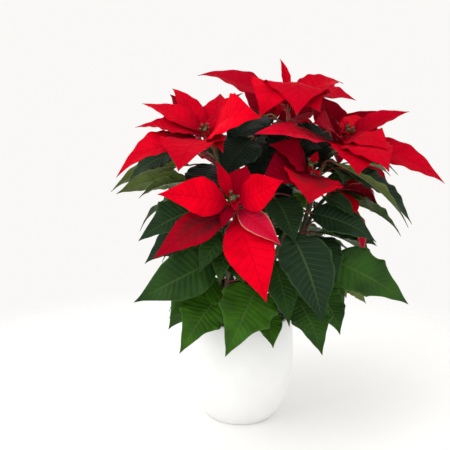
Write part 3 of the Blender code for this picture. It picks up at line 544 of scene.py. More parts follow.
class Plan:
    """Where everything grows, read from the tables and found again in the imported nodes."""

    def __init__(self, nodes: dict[str, Object]) -> None:
        """Find every blade and stalk.

        Args:
            nodes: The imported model's nodes by name.
        """
        self.trees = {name: self.node_tree(obj) for name, obj in nodes.items()}
        self.heads = HEADS + tuple(
            Head(name, plant, top, looks, self.back_bracts(number, top, looks), BACK_BUDS)
            for number, (name, plant, top, looks) in enumerate(BACK_HEADS))
        self.choices = self.bends()
        self.young: list[np.ndarray] = []
        self.blooms: dict[str, list[Blade]] = {}
        self.leaves: dict[str, list[Blade]] = {name: [] for name in TRUNKS}
        for head in self.heads:
            found = [self.find(blade, ["bracts_" + head.name])[0] for blade in head.bracts()]
            self.blooms[head.name] = [blade for blade in found if blade]
        for blade in list(FRONT_LEAVES) + self.back_leaves():
            self.place_leaf(blade)

    @staticmethod
    def node_tree(obj: Object) -> BVHTree:
        """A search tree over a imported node, in millimetres."""
        points = [vertex.co / MM for vertex in obj.data.vertices]
        return BVHTree.FromPolygons(points, [tuple(face.vertices) for face in obj.data.polygons])

    @staticmethod
    def bends() -> list[Place]:
        """The turns that a blade may have been given.

        Returns:
            Turns in depth, in the picture and about the blade's length, the smallest first.
        """
        turns = [(depth, swing, roll) for depth in DEPTH_BENDS for swing in SWING_BENDS
                 for roll in ROLL_BENDS]
        return sorted(turns, key=lambda turn: (abs(turn[0]) + SWING_COST * abs(turn[1])
                                               + ROLL_COST * abs(turn[2])))

    def find(self, blade: Blade, names: Iterable[str]) -> tuple[Optional[Blade], str]:
        """The blade as it was turned in its node.

        Args:
            blade: The blade before it was bent clear of its neighbours.
            names: The nodes to look in.

        Returns:
            The turned blade and its node's name, or None and an empty name.
        """
        for bend in self.choices:
            turned_blade = blade.bent(bend)
            marks = turned_blade.landmarks()
            for name in names:
                tree = self.trees[name]
                if all(tree.find_nearest(mark, MATCH_REACH)[0] for mark in marks):
                    return turned_blade, name
        log.info("a blade that ends at %s isn't in the solids", tuple(blade.tip))
        return None, ""

    def clear(self, blade: Blade, clearance: float, start: float = 0.0) -> bool:
        """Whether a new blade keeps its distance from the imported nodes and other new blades.

        Args:
            blade: The new blade, which is noted when it is clear.
            clearance: The least distance, in millimetres.
            start: Where along the blade the test starts.

        Returns:
            True for a blade that is clear.
        """
        share, side = np.meshgrid(np.linspace(start, 1.0, 8), np.linspace(-1.0, 1.0, 5),
                                  indexing="ij")
        half = np.sin(np.pi * share) * blade.width / 2.0
        points = blade.surface(share, side, half).reshape(-1, 3)
        for other in self.young:
            if np.linalg.norm(points[:, None] - other[None], axis=2).min() < YOUNG_SPACING:
                return False
        places = [Vector(point) for point in points]
        for tree in self.trees.values():
            if any(tree.find_nearest(place, clearance)[0] for place in places):
                return False
        self.young.append(points)
        return True

    def place_leaf(self, blade: Blade) -> None:
        """Find a leaf and its stalk, and note them under their plant.

        Args:
            blade: The leaf before it was bent clear of its neighbours.
        """
        found, node = self.find(blade, ["leafy_stem_" + plant for plant in TRUNKS])
        if not found:
            return
        plant = node.removeprefix("leafy_stem_")
        limbs = [path for name, path in self.limb_paths(LIMB_STEPS).items()
                 if self.plant_of(name) == plant]
        tree = self.trees[node]

        def misfit(stalk: list[Vector]) -> float:
            """How far a stalk's inner points lie from the node."""
            inner = [stalk[0].lerp(stalk[1], 0.5), stalk[1], stalk[1].lerp(stalk[2], 0.5)]
            return sum(tree.find_nearest(point)[3] for point in inner)

        stalks = [self.stalk_ends(blade, limb, shift) for limb in limbs for shift in STALK_SHIFTS]
        ends = min(stalks, key=lambda ends: misfit(bezier(ends, STALK_STEPS)))
        self.leaves[plant].append(replace(found, stalk=tuple(ends)))

    def plant_of(self, name: str) -> str:
        """The plant that a bloom grows on."""
        return next(head.plant for head in self.heads if head.name == name)

    @staticmethod
    def stalk_ends(blade: Blade, limb: Sequence[Vector], shift: float) -> list[Vector]:
        """The three points that a leaf's stalk is drawn from.

        Args:
            blade: The leaf.
            limb: The centre line of the branch that it may stand on.
            shift: How much higher than usual the stalk starts, in millimetres.

        Returns:
            The points on the branch, before the leaf and at its root.
        """
        height = blade.root.z - STALK_DROP + shift
        start = min(limb[:-1], key=lambda point: abs(point.z - height))
        along = blade.chord().normalized()
        before = blade.root - along * (STALK_LEAD * (blade.root - start).length)
        return [start, before, blade.root]

    def limb_paths(self, steps: int) -> dict[str, list[Vector]]:
        """Every branch's centre line, from inside its trunk to just under its bloom.

        Args:
            steps: How many steps a branch is drawn in.

        Returns:
            The lines by their bloom's name.
        """
        paths = {}
        for head in self.heads:
            foot, top = TRUNKS[head.plant]
            start = top.lerp(foot, BRANCH_SINK / (top - foot).length)
            end = head.foot() - head.axis() * CONTACT_GAP
            neck = end - head.axis() * NECK_LENGTH
            before = neck - head.axis() * (NECK_LEAD * (neck - start).length)
            paths[head.name] = bezier([start, ELBOWS[head.name], before, neck], steps) + [end]
        return paths

    @staticmethod
    def back_bracts(number: int, top: Vector, looks: Vector) -> tuple[Blade, ...]:
        """Bracts around a far bloom, by the golden angle, longer and lower outwards.

        Args:
            number: The bloom's number on the far side.
            top: The top of its core.
            looks: The way it looks.

        Returns:
            The bracts, with their roots still to be set.
        """
        draw = random.Random(BACK_SEED + number)
        axis = looks.normalized()
        side = axis.cross(UP).normalized()
        up = side.cross(axis)
        bracts = []
        for i in range(BACK_BRACTS):
            share = (i + 0.5) / BACK_BRACTS
            turn = i * GOLDEN_ANGLE + number
            lean = math.radians(between(BACK_LEAN, share))
            reach = between(BACK_REACH, share) + draw.uniform(*BACK_REACH_SPREAD)
            spread = side * math.cos(turn) + up * math.sin(turn)
            tip = top + (axis * math.cos(lean) + spread * math.sin(lean)) * reach
            bracts.append(bract(*tip, between(BACK_WIDTH, share), 0.0, 0.12))
        return tuple(bracts)

    @staticmethod
    def back_leaves() -> list[Blade]:
        """Leaves on the far side, ring by ring.

        Returns:
            The leaves, from the top ring down.
        """
        draw = random.Random(BACK_SEED)
        leaves = []
        for ring, (height, count, distance, length, droop) in enumerate(LEAF_RINGS):
            tint = Tint.FRESH_GREEN if ring == len(LEAF_RINGS) - 1 else Tint.MID_GREEN
            for i in range(count):
                share = (i + 0.5 * (ring % 2) + 0.25) / count
                turn = math.radians(between(RING_ARC, share)) + draw.uniform(*RING_TURN_SPREAD)
                out = Vector((math.cos(turn), math.sin(turn), 0.0))
                level = height + draw.uniform(*RING_HEIGHT_SPREAD)
                root = RING_MIDDLE + out * distance + UP * level
                fall = math.radians(droop + draw.uniform(*RING_DROOP_SPREAD))
                tip = root + (out * math.cos(fall) - UP * math.sin(fall)) * length
                width = length * draw.uniform(*RING_SLIMNESS)
                outline = TOOTHED if i % 2 else PLAIN
                leaves.append(leaf(root, tip, width, 0.0, 0.13, outline, tint))
        return leaves


class Wiring:
    """Adds and links nodes in one tree."""

    def __init__(self, tree: NodeTree) -> None:
        """Keep the tree that nodes go into."""
        self.tree = tree

    def add(self, kind: str, sockets: Optional[dict] = None, **settings: object) -> Node:
        """Add a node.

        Args:
            kind: The node's type.
            sockets: Values or links for its inputs, by name or number.
            settings: The node's own properties.

        Returns:
            The node.
        """
        node = self.tree.nodes.new(kind)
        for name, value in settings.items():
            setattr(node, name, value)
        for key, value in (sockets or {}).items():
            self.feed(node.inputs[key], value)
        return node

    def feed(self, socket: Socket, value: object) -> None:
        """Link a socket to another, or set its value.

        Args:
            socket: The input.
            value: The socket that feeds it, a colour, or another plain value.
        """
        if isinstance(value, Socket):
            self.tree.links.new(value, socket)
        elif socket.type == "RGBA":
            socket.default_value = (*value, 1.0)
        else:
            socket.default_value = value

    def math(self, operation: str, a: object, b: object = 0.0) -> Socket:
        """An operation on one or two values."""
        return self.add("ShaderNodeMath", {0: a, 1: b}, operation=operation).outputs[0]

    def times(self, a: object, b: object) -> Socket:
        """The product of two values."""
        return self.math("MULTIPLY", a, b)

    def plus(self, a: object, b: object) -> Socket:
        """The sum of two values."""
        return self.math("ADD", a, b)

    def less(self, a: object, b: object) -> Socket:
        """The first value less the second."""
        return self.math("SUBTRACT", a, b)

    def ramp(self, value: object, low: float, high: float, start: float = 0.0,
             end: float = 1.0) -> Socket:
        """A smooth step: start below low, end above high."""
        sockets = dict(enumerate((value, low, high, start, end)))
        return self.add("ShaderNodeMapRange", sockets, interpolation_type="SMOOTHSTEP").outputs[0]

    def mix(self, share: object, a: object, b: object) -> Socket:
        """Two colours mixed, with a share of the second."""
        sockets = {0: share, 6: a, 7: b}
        return self.add("ShaderNodeMix", sockets, data_type="RGBA").outputs[2]

    def vector(self, operation: str, sockets: dict) -> Socket:
        """An operation on one or two vectors."""
        return self.add("ShaderNodeVectorMath", sockets, operation=operation).outputs[0]

    def attribute(self, name: str) -> Socket:
        """A number kept on the mesh's points."""
        return self.add("ShaderNodeAttribute", attribute_name=name).outputs["Fac"]

    def along(self, turn: Span) -> Socket:
        """How far a limb's colour has turned, by the place along it."""
        return self.ramp(self.attribute("along"), *turn)

    def place(self) -> Socket:
        """The place on the piece, in its own coordinates."""
        return self.add("ShaderNodeTexCoord").outputs["Object"]

    def noise(self, scale: object, detail: float) -> Socket:
        """A soft random value, at a number of lumps to the metre."""
        sockets = {"Vector": self.place(), "Scale": scale, "Detail": detail}
        return self.add("ShaderNodeTexNoise", sockets).outputs[0]

    def part(self, vector: object, axis: int) -> Socket:
        """One coordinate of a vector."""
        return self.add("ShaderNodeSeparateXYZ", {0: vector}).outputs[axis]

    def group(self, tree: NodeTree, **sockets: object) -> Sockets:
        """The results of a shared effect that is placed in this tree."""
        return dict(self.add("ShaderNodeGroup", sockets, node_tree=tree).outputs.items())


def new_group(name: str, inputs: dict[str, str], outputs: dict[str, str],
              kind: str = "ShaderNodeTree") -> tuple[Wiring, Node, Node]:
    """An empty node group.

    Args:
        name: The group's name.
        inputs: Socket kinds by input name.
        outputs: Socket kinds by output name.
        kind: Shader or geometry tree.

    Returns:
        The wiring, the group's input node and its output node.
    """
    tree = bpy.data.node_groups.new(name, kind)
    for way, sockets in (("INPUT", inputs), ("OUTPUT", outputs)):
        for label, socket_kind in sockets.items():
            tree.interface.new_socket(name=label, in_out=way,
                                      socket_type="NodeSocket" + socket_kind)
    wiring = Wiring(tree)
    return wiring, wiring.add("NodeGroupInput"), wiring.add("NodeGroupOutput")


@dataclass(frozen=True)
class VeinPattern:
    """The pattern of veins on a blade. Each ramp is a low, a high, a start and an end."""

    vein_width: float = 0.075
    net_size: float = 3.0
    taper: Ramp = (0.0, 1.0, 1.3, 0.5)
    softness: Ramp = (0.0, 0.6, 0.0, 1.0)
    edge_fade: Ramp = (0.70, 0.98, 0.8, 0.0)
    midrib: Ramp = (0.02, 0.07, 1.0, 0.0)
    midrib_fade: Ramp = (0.85, 1.0, 1.0, 0.3)
    net_stretch: float = 3.2
    net_line: Ramp = (0.0, 0.10, 1.0, 0.0)
    puff: Ramp = (0.0, 0.5, 0.0, 1.0)
    puff_height: float = 0.5
    vein_depth: float = 0.7
    net_depth: float = 0.18

    def tree(self) -> NodeTree:
        """The pattern, drawn on the blade's UV map.

        Returns:
            A group that puts out the place along the blade, the distance from the midrib,
            masks of the veins and of the fine net between them, and a height.
        """
        names = ("Along", "Out", "Vein", "Net", "Height")
        wire, _given, result = new_group("blade_veins", {}, {name: "Float" for name in names})
        uv = wire.add("ShaderNodeUVMap", uv_map="blade").outputs[0]
        along = wire.part(uv, 1)
        side = wire.less(wire.times(wire.part(uv, 0), 2.0), 1.0)
        out = wire.math("ABSOLUTE", side)
        shift = wire.times(wire.math("GREATER_THAN", side, 0.0), SIDE_OFFSET)
        step = wire.plus(wire.times(along, wire.attribute("veins")), shift)
        near = wire.math("PINGPONG", step, 0.5)
        width = wire.times(self.vein_width, wire.ramp(out, *self.taper))
        lateral = wire.ramp(wire.less(1.0, wire.math("DIVIDE", near, width)), *self.softness)
        lateral = wire.times(lateral, wire.ramp(out, *self.edge_fade))
        middle = wire.times(wire.ramp(out, *self.midrib), wire.ramp(along, *self.midrib_fade))
        vein = wire.math("MAXIMUM", lateral, middle)
        spread = wire.add("ShaderNodeCombineXYZ", {0: wire.times(side, self.net_stretch), 1: step})
        net = wire.add("ShaderNodeTexVoronoi",
                       {"Vector": spread.outputs[0], "Scale": self.net_size},
                       feature="DISTANCE_TO_EDGE", voronoi_dimensions="2D")
        lines = wire.ramp(net.outputs["Distance"], *self.net_line)
        height = wire.less(wire.times(wire.ramp(near, *self.puff), self.puff_height),
                           wire.times(vein, self.vein_depth))
        height = wire.less(height, wire.times(lines, self.net_depth))
        for name, value in zip(names, (along, out, vein, lines, height)):
            wire.feed(result.inputs[name], value)
        return wire.tree


@dataclass(frozen=True)
class Mottling:
    """Uneven colour in soft patches, with a fine grain."""

    patch_detail: float = 3.0
    patch_edge: Span = (0.35, 0.68)
    grain_size: float = 900.0
    grain_detail: float = 2.0

    def tree(self) -> NodeTree:
        """The mottling as a group.

        Returns:
            A group that puts out the patches and the grain.
        """
        wire, given, result = new_group("mottle", {"Size": "Float"},
                                        {"Patch": "Float", "Grain": "Float"})
        patch = wire.noise(given.outputs["Size"], self.patch_detail)
        wire.feed(result.inputs["Patch"], wire.ramp(patch, *self.patch_edge))
        wire.feed(result.inputs["Grain"], wire.noise(self.grain_size, self.grain_detail))
        return wire.tree


class Finish:
    """A finish: a named material with its own wiring."""

    name = "finish"

    def material(self) -> Material:
        """Make the material.

        Returns:
            The material, with a Principled shader and whatever the finish wires to it.
        """
        made = bpy.data.materials.new(self.name)
        made.use_nodes = True
        self.wire(Wiring(made.node_tree), made.node_tree.nodes["Principled BSDF"].inputs)
        return made

    def wire(self, wire: Wiring, shader: Sockets) -> None:
        """Feed the shader's sockets. Each kind of finish has its own way."""
        raise NotImplementedError


@dataclass(frozen=True)
class MottledFinish(Finish):
    """A finish with soft, duller patches and a fine grain.

    Its roughness is the smooth part's and what the patches add, and its relief is the
    height of the bumps in metres and how strongly they show.
    """

    mottle: NodeTree
    patch_size: float = 90.0
    roughness: Span = (0.5, 0.0)
    specular: float = 0.5
    relief: Span = (0.0002, 0.5)

    def wire(self, wire: Wiring, shader: Sockets) -> None:
        """Feed the shader with the painted colour, the shine and the relief.

        Args:
            wire: The material's wiring.
            shader: The shader's sockets by name.
        """
        mottle = wire.group(self.mottle, Size=self.patch_size)
        colour, height = self.paint(wire, mottle["Patch"], mottle["Grain"])
        smooth, dull = self.roughness
        distance, strength = self.relief
        bump = wire.add("ShaderNodeBump",
                        {"Height": height, "Distance": distance, "Strength": strength})
        wire.feed(shader["Base Color"], colour)
        wire.feed(shader["Roughness"], wire.plus(smooth, wire.times(mottle["Patch"], dull)))
        wire.feed(shader["Specular IOR Level"], self.specular)
        wire.feed(shader["Normal"], bump.outputs[0])

    def paint(self, wire: Wiring, patch: Socket, grain: Socket) -> Painted:
        """Mix the colour and the height. Each finish has its own, from patches and grain."""
        raise NotImplementedError


@dataclass(frozen=True)
class BladeFinish(MottledFinish):
    """A finish for leaves or bracts, with their veins."""

    veins: NodeTree = field(kw_only=True)
    grain_share: float = 0.10


@dataclass(frozen=True)
class LeafFinish(BladeFinish):
    """Dark green leaf with pale veins, paler beneath."""

    name: str = "leaf"
    deep: Colour = (0.0090, 0.0270, 0.0110)
    dark: Colour = (0.00495, 0.01485, 0.00605)
    fresh: Colour = (0.036, 0.125, 0.004)
    shaded: Colour = (0.0045, 0.010, 0.0065)
    vein: Colour = (0.100, 0.170, 0.045)
    under: Colour = (0.060, 0.095, 0.030)
    olive: Colour = (0.130, 0.172, 0.040)
    pale_vein: Colour = (0.270, 0.330, 0.130)
    patch_size: float = 34.0
    patch_share: float = 0.45
    under_share: float = 0.75
    olive_share: float = 0.95
    vein_share: float = 0.30
    net_share: float = 0.07
    # edge paints a thin paler margin: partly the leaf's own pale rim, partly a painted highlight.
    edge: Ramp = (0.90, 1.0, 0.0, 0.30)
    roughness: Span = (0.34, 0.10)
    specular: float = 0.09
    grain_share: float = 0.12
    relief: Span = (0.0009, 0.7)

    def paint(self, wire: Wiring, patch: Socket, grain: Socket) -> Painted:
        """Mix the greens by the blade's own tone, and lay the veins over them.

        Args:
            wire: The material's wiring.
            patch: The soft patches.
            grain: The fine grain.

        Returns:
            The colour and the height.
        """
        veins = wire.group(self.veins)
        pale = wire.attribute("pale")
        colour = wire.mix(wire.attribute("tone"), self.deep, self.fresh)
        colour = wire.mix(wire.times(patch, self.patch_share), colour, self.dark)
        below = wire.times(wire.attribute("under"), self.under_share)
        colour = wire.mix(below, colour, self.under)
        colour = wire.mix(wire.times(pale, self.olive_share), colour, self.olive)
        vein = wire.mix(pale, self.vein, self.pale_vein)
        lines = wire.plus(wire.times(veins["Vein"], self.vein_share),
                          wire.times(veins["Net"], self.net_share))
        colour = wire.mix(lines, colour, vein)
        # A thin paler margin along the edge: partly the leaf's own pale rim, partly a painted
        # highlight.
        colour = wire.mix(wire.ramp(veins["Out"], *self.edge), colour, vein)
        # Painted shade: leaves with a turning share (SHADED_GREEN) are darkened towards the shaded
        # green, as leaves deep in the plant stand in shade.
        colour = wire.mix(wire.attribute("turning"), colour, self.shaded)
        return colour, wire.plus(veins["Height"], wire.times(grain, self.grain_share))


@dataclass(frozen=True)
class BractFinish(BladeFinish):
    """Velvety red bract; some are still turning from green."""

    name: str = "bract"
    scarlet: Colour = (0.780, 0.0, 0.013)
    crimson: Colour = (0.130, 0.0, 0.010)
    shade: Colour = (0.300, 0.0, 0.005)
    green: Colour = (0.034, 0.012, 0.014)
    rosy: Colour = (0.560, 0.012, 0.055)
    cream: Colour = (0.560, 0.300, 0.160)
    # under is the red of the undersides: partly their own duller colour, partly painted shade.
    under: Colour = (0.300, 0.003, 0.020)
    tip: Colour = (0.070, 0.020, 0.020)
    patch_size: float = 42.0
    patch_share: float = 0.35
    pale_outwards: Ramp = (0.0, 1.0, 0.4, 1.0)
    under_share: float = 0.6
    vein_share: float = 0.15
    red_vein: float = 0.8
    green_outwards: Ramp = (0.35, 0.95, 1.0, 0.1)
    green_along: Ramp = (0.25, 0.80, 1.0, 0.30)
    green_patches: Ramp = (0.0, 1.0, 0.75, 1.0)
    speckle_size: float = 520.0
    speckle_detail: float = 3.0
    speckle: Ramp = (0.38, 0.56, 0.50, 1.0)
    root_shade: Ramp = (0.04, 0.42, 0.62, 0.0)
    edge: Span = (0.86, 1.0)
    edge_where_pale: Ramp = (0.45, 0.75, 0.0, 0.8)
    tip_shade: Ramp = (0.93, 1.0, 0.0, 0.7)
    roughness: Span = (0.52, 0.12)
    specular: float = 0.012
    relief: Span = (0.0008, 0.7)

    def greenness(self, wire: Wiring, veins: Sockets, patch: Socket) -> Socket:
        """How green a turning bract still is: between its veins, near its root and midrib.

        Args:
            wire: The material's wiring.
            veins: The pattern of its veins.
            patch: Its soft patches.

        Returns:
            A share from 0 to 1.
        """
        between_veins = wire.less(1.0, wire.times(veins["Vein"], self.red_vein))
        inside = wire.times(wire.ramp(veins["Out"], *self.green_outwards),
                            wire.ramp(veins["Along"], *self.green_along))
        inside = wire.times(inside, wire.ramp(patch, *self.green_patches))
        noisy = wire.noise(self.speckle_size, self.speckle_detail)
        speckle = wire.times(wire.ramp(noisy, *self.speckle), wire.attribute("turning"))
        return wire.times(wire.times(between_veins, inside), speckle)

    def paint(self, wire: Wiring, patch: Socket, grain: Socket) -> Painted:
        """Mix the reds, with green left between the veins of turning bracts.

        Args:
            wire: The material's wiring.
            patch: The soft patches.
            grain: The fine grain.

        Returns:
            The colour and the height.
        """
        veins = wire.group(self.veins)
        pale = wire.attribute("pale")
        # The tone runs from scarlet to crimson; the darker tones are partly painted shade.
        colour = wire.mix(wire.attribute("tone"), self.scarlet, self.crimson)
        colour = wire.mix(wire.times(patch, self.patch_share), colour, self.shade)
        paleness = wire.times(pale, wire.ramp(veins["Out"], *self.pale_outwards))
        colour = wire.mix(paleness, colour, self.rosy)
        # Undersides get a darker red: partly their own duller colour, partly painted shade on the
        # side turned from the light.
        below = wire.times(wire.attribute("under"), self.under_share)
        colour = wire.mix(below, colour, self.under)
        colour = wire.mix(wire.times(veins["Vein"], self.vein_share), colour, self.crimson)
        colour = wire.mix(self.greenness(wire, veins, patch), colour, self.green)
        colour = wire.mix(wire.ramp(veins["Along"], *self.root_shade), colour, self.crimson)
        edge = wire.times(wire.ramp(veins["Out"], *self.edge),
                          wire.ramp(pale, *self.edge_where_pale))
        colour = wire.mix(edge, colour, self.cream)
        colour = wire.mix(wire.ramp(veins["Along"], *self.tip_shade), colour, self.tip)
        return colour, wire.plus(veins["Height"], wire.times(grain, self.grain_share))


@dataclass(frozen=True)
class StemFinish(MottledFinish):
    """Woody and brown near the soil, green and smooth higher up."""

    name: str = "stem"
    wood: Colour = (0.120, 0.072, 0.040)
    green: Colour = (0.070, 0.110, 0.025)
    scar: Colour = (0.045, 0.022, 0.014)
    turn: Span = (0.15, 0.26)
    patch_size: float = 120.0
    scar_share: float = 0.5
    roughness: Span = (0.6, 0.0)
    relief: Span = (0.0006, 0.6)

    def paint(self, wire: Wiring, patch: Socket, grain: Socket) -> Painted:
        """Turn from wood to green with height, with scars across.

        Args:
            wire: The material's wiring.
            patch: The soft patches.
            grain: The fine grain.

        Returns:
            The colour and the height.
        """
        colour = wire.mix(wire.ramp(wire.part(wire.place(), 2), *self.turn), self.wood, self.green)
        scarred = wire.mix(wire.times(patch, self.scar_share), colour, self.scar)
        return scarred, wire.plus(patch, grain)


@dataclass(frozen=True)
class StalkFinish(MottledFinish):
    """Leaf stalk and midrib: red near the stem, pale green along the leaf."""

    name: str = "stalk"
    red: Colour = (0.230, 0.020, 0.020)
    green: Colour = (0.130, 0.200, 0.055)
    turn: Span = (0.25, 0.65)
    patches: Ramp = (0.0, 1.0, 1.0, 0.8)

    def paint(self, wire: Wiring, patch: Socket, grain: Socket) -> Painted:
        """Turn from red to green along the stalk."""
        share = wire.times(wire.along(self.turn), wire.ramp(patch, *self.patches))
        return wire.mix(share, self.red, self.green), grain


@dataclass(frozen=True)
class RibFinish(MottledFinish):
    """A bloom's core and its bracts' stalks: green turning to red."""

    name: str = "bract_rib"
    green: Colour = (0.120, 0.110, 0.030)
    red: Colour = (0.420, 0.004, 0.014)
    turn: Span = (0.0, 0.22)
    patch_share: float = 0.6

    def paint(self, wire: Wiring, patch: Socket, grain: Socket) -> Painted:
        """Turn from green to red outwards."""
        share = wire.math("MAXIMUM", wire.along(self.turn), wire.times(patch, self.patch_share))
        return wire.mix(share, self.green, self.red), grain


class Zone(Enum):
    """The zones of a bud, as the mesh keeps them."""

    CUP = 0.0
    GLAND = 1.0
    TUFT = 2.0


@dataclass(frozen=True)
class BudFinish(MottledFinish):
    """Cyathia: olive cups with yellow glands and dark red tufts."""

    name: str = "bud"
    cup: Colour = (0.045, 0.060, 0.012)
    dark: Colour = (0.0225, 0.030, 0.006)
    gland: Colour = (0.300, 0.190, 0.015)
    tuft: Colour = (0.200, 0.010, 0.010)
    gland_start: Span = (0.4, 0.6)
    tuft_start: Span = (1.4, 1.6)
    patch_size: float = 300.0
    patch_share: float = 0.3
    roughness: Span = (0.4, 0.0)

    def paint(self, wire: Wiring, patch: Socket, grain: Socket) -> Painted:
        """Colour each zone of a bud.

        Args:
            wire: The material's wiring.
            patch: The soft patches.
            grain: The fine grain.

        Returns:
            The colour and the height.
        """
        zone = wire.attribute("zone")
        colour = wire.mix(wire.ramp(zone, *self.gland_start), self.cup, self.gland)
        colour = wire.mix(wire.ramp(zone, *self.tuft_start), colour, self.tuft)
        return wire.mix(wire.times(patch, self.patch_share), colour, self.dark), grain


@dataclass(frozen=True)
class CeramicFinish(MottledFinish):
    """White satin glaze with a faint unevenness."""

    name: str = "white_glaze"
    white: Colour = (0.842, 0.846, 0.842)
    shade: Colour = (0.812, 0.813, 0.806)
    patch_size: float = 14.0
    roughness: Span = (0.30, 0.06)
    wave_size: float = 30.0
    grain_share: float = 0.04
    relief: Span = (0.0006, 0.25)

    def paint(self, wire: Wiring, patch: Socket, grain: Socket) -> Painted:
        """A nearly even white with soft, slow waves in the glaze."""
        waves = wire.plus(wire.noise(self.wave_size, 1.0), wire.times(grain, self.grain_share))
        return wire.mix(patch, self.white, self.shade), waves


@dataclass(frozen=True)
class PlasticFinish(MottledFinish):
    """Thin black plastic, dusty with soil."""

    name: str = "black_pot_plastic"
    black: Colour = (0.016, 0.016, 0.017)
    dust: Colour = (0.060, 0.048, 0.038)
    patch_size: float = 60.0
    dust_share: float = 0.5
    roughness: Span = (0.38, 0.3)
    relief: Span = (0.0002, 0.4)

    def paint(self, wire: Wiring, patch: Socket, grain: Socket) -> Painted:
        """Dark plastic with patches of dried soil."""
        return wire.mix(wire.times(patch, self.dust_share), self.black, self.dust), grain


@dataclass(frozen=True)
class SoilFinish(MottledFinish):
    """Dark damp peat with lighter fibres."""

    name: str = "peat"
    dark: Colour = (0.020, 0.013, 0.009)
    light: Colour = (0.085, 0.055, 0.035)
    patch_size: float = 160.0
    fibre_size: float = 420.0
    fibre_detail: float = 4.0
    roughness: Span = (0.95, 0.0)
    relief: Span = (0.0015, 0.9)

    def paint(self, wire: Wiring, patch: Socket, grain: Socket) -> Painted:
        """Two browns in patches with a coarse grain."""
        fibres = wire.noise(self.fibre_size, self.fibre_detail)
        return wire.mix(patch, self.dark, self.light), wire.plus(fibres, grain)


@dataclass(frozen=True)
class FloorFinish(Finish):
    """A plain pale floor that fades into the backdrop behind the plant."""

    name: str = "pale_floor"
    white: Colour = (0.90, 0.895, 0.885)
    fade: Ramp = (0.28, 0.72, 1.0, 0.0)
    roughness: float = 0.7
    specular: float = 0.1

    def wire(self, wire: Wiring, shader: Sockets) -> None:
        """One even colour that thins out with distance from the pot.

        Args:
            wire: The material's wiring.
            shader: The shader's sockets by name.
        """
        reach = wire.add("ShaderNodeVectorMath", {0: wire.place()}, operation="LENGTH")
        wire.feed(shader["Base Color"], self.white)
        wire.feed(shader["Roughness"], self.roughness)
        wire.feed(shader["Specular IOR Level"], self.specular)
        wire.feed(shader["Alpha"], wire.ramp(reach.outputs["Value"], *self.fade))


class Shell:
    """Points, faces and point values of a mesh while it is drawn up."""

    def __init__(self) -> None:
        """Start empty."""
        self.points: list[np.ndarray] = []
        self.faces: list[list[int]] = []
        self.values: dict[str, list[np.ndarray]] = {}
        self.uvs: list[np.ndarray] = []
        self.count = 0

    def add(self, points: np.ndarray, faces: Iterable[Sequence[int]],
            uv: Optional[np.ndarray] = None, **values: object) -> None:
        """Add points with their faces, places on the UV map and point values.

        Args:
            points: The points in millimetres, one row each.
            faces: Faces as numbers of these points.
            uv: A place on the UV map for each point.
            values: A number for each point, or one for all, by attribute name.
        """
        size = len(points)
        self.faces += [[index + self.count for index in face] for face in faces]
        self.points.append(points * MM)
        self.uvs.append(np.zeros((size, 2)) if uv is None else uv)
        for name, value in values.items():
            spread = np.broadcast_to(np.asarray(value, float), (size,))
            self.values.setdefault(name, []).append(spread)
        self.count += size

    def mesh(self, name: str) -> Mesh:
        """The finished mesh, smoothly shaded.

        Args:
            name: The mesh's name.

        Returns:
            The mesh.
        """
        mesh = bpy.data.meshes.new(name)
        mesh.from_pydata(np.concatenate(self.points).tolist(), [], self.faces)
        corners = np.empty(len(mesh.loops), np.int32)
        mesh.loops.foreach_get("vertex_index", corners)
        layer = mesh.uv_layers.new(name="blade")
        layer.data.foreach_set("uv", np.concatenate(self.uvs)[corners].astype(np.float32).ravel())
        for label, arrays in self.values.items():
            attribute = mesh.attributes.new(label, "FLOAT", "POINT")
            attribute.data.foreach_set("value", np.concatenate(arrays).astype(np.float32))
        smooth_faces(mesh)
        mesh.update()
        return mesh


def smooth_faces(mesh: Mesh) -> None:
    """Shade every face of a mesh smoothly."""
    mesh.polygons.foreach_set("use_smooth", np.ones(len(mesh.polygons), bool))


def stand(name: str, data: object) -> Object:
    """Put a new object in the scene.

    Args:
        name: The object's name.
        data: Its mesh, curve, lamp or camera.

    Returns:
        The object.
    """
    obj = bpy.data.objects.new(name, data)
    bpy.context.scene.collection.objects.link(obj)
    return obj


def piece(name: str, mesh: Mesh, finish: Material, slot: str, *nodes: str) -> Object:
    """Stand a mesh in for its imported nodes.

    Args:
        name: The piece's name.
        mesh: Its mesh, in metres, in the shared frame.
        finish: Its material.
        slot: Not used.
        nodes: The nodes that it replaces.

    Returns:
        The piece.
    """
    mesh.materials.clear()
    mesh.materials.append(finish)
    obj = stand(name, mesh)
    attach(obj, BODY)
    if nodes:
        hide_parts(*nodes)
    return obj


def grown(source: Object, tree: NodeTree, **inputs: object) -> Mesh:
    """Run a geometry tree on an object and keep the result as a plain mesh.

    Args:
        source: The object that the tree works on. It is removed.
        tree: The geometry tree.
        inputs: Values for the tree's named inputs.

    Returns:
        The mesh.
    """
    modifier = source.modifiers.new("grow", "NODES")
    modifier.node_group = tree
    for item in tree.interface.items_tree:
        if item.in_out == "INPUT" and item.name in inputs:
            modifier[item.identifier] = inputs[item.name]
    bpy.context.view_layer.update()
    graph = bpy.context.evaluated_depsgraph_get()
    mesh = bpy.data.meshes.new_from_object(source.evaluated_get(graph), depsgraph=graph)
    bpy.data.objects.remove(source, do_unlink=True)
    return mesh


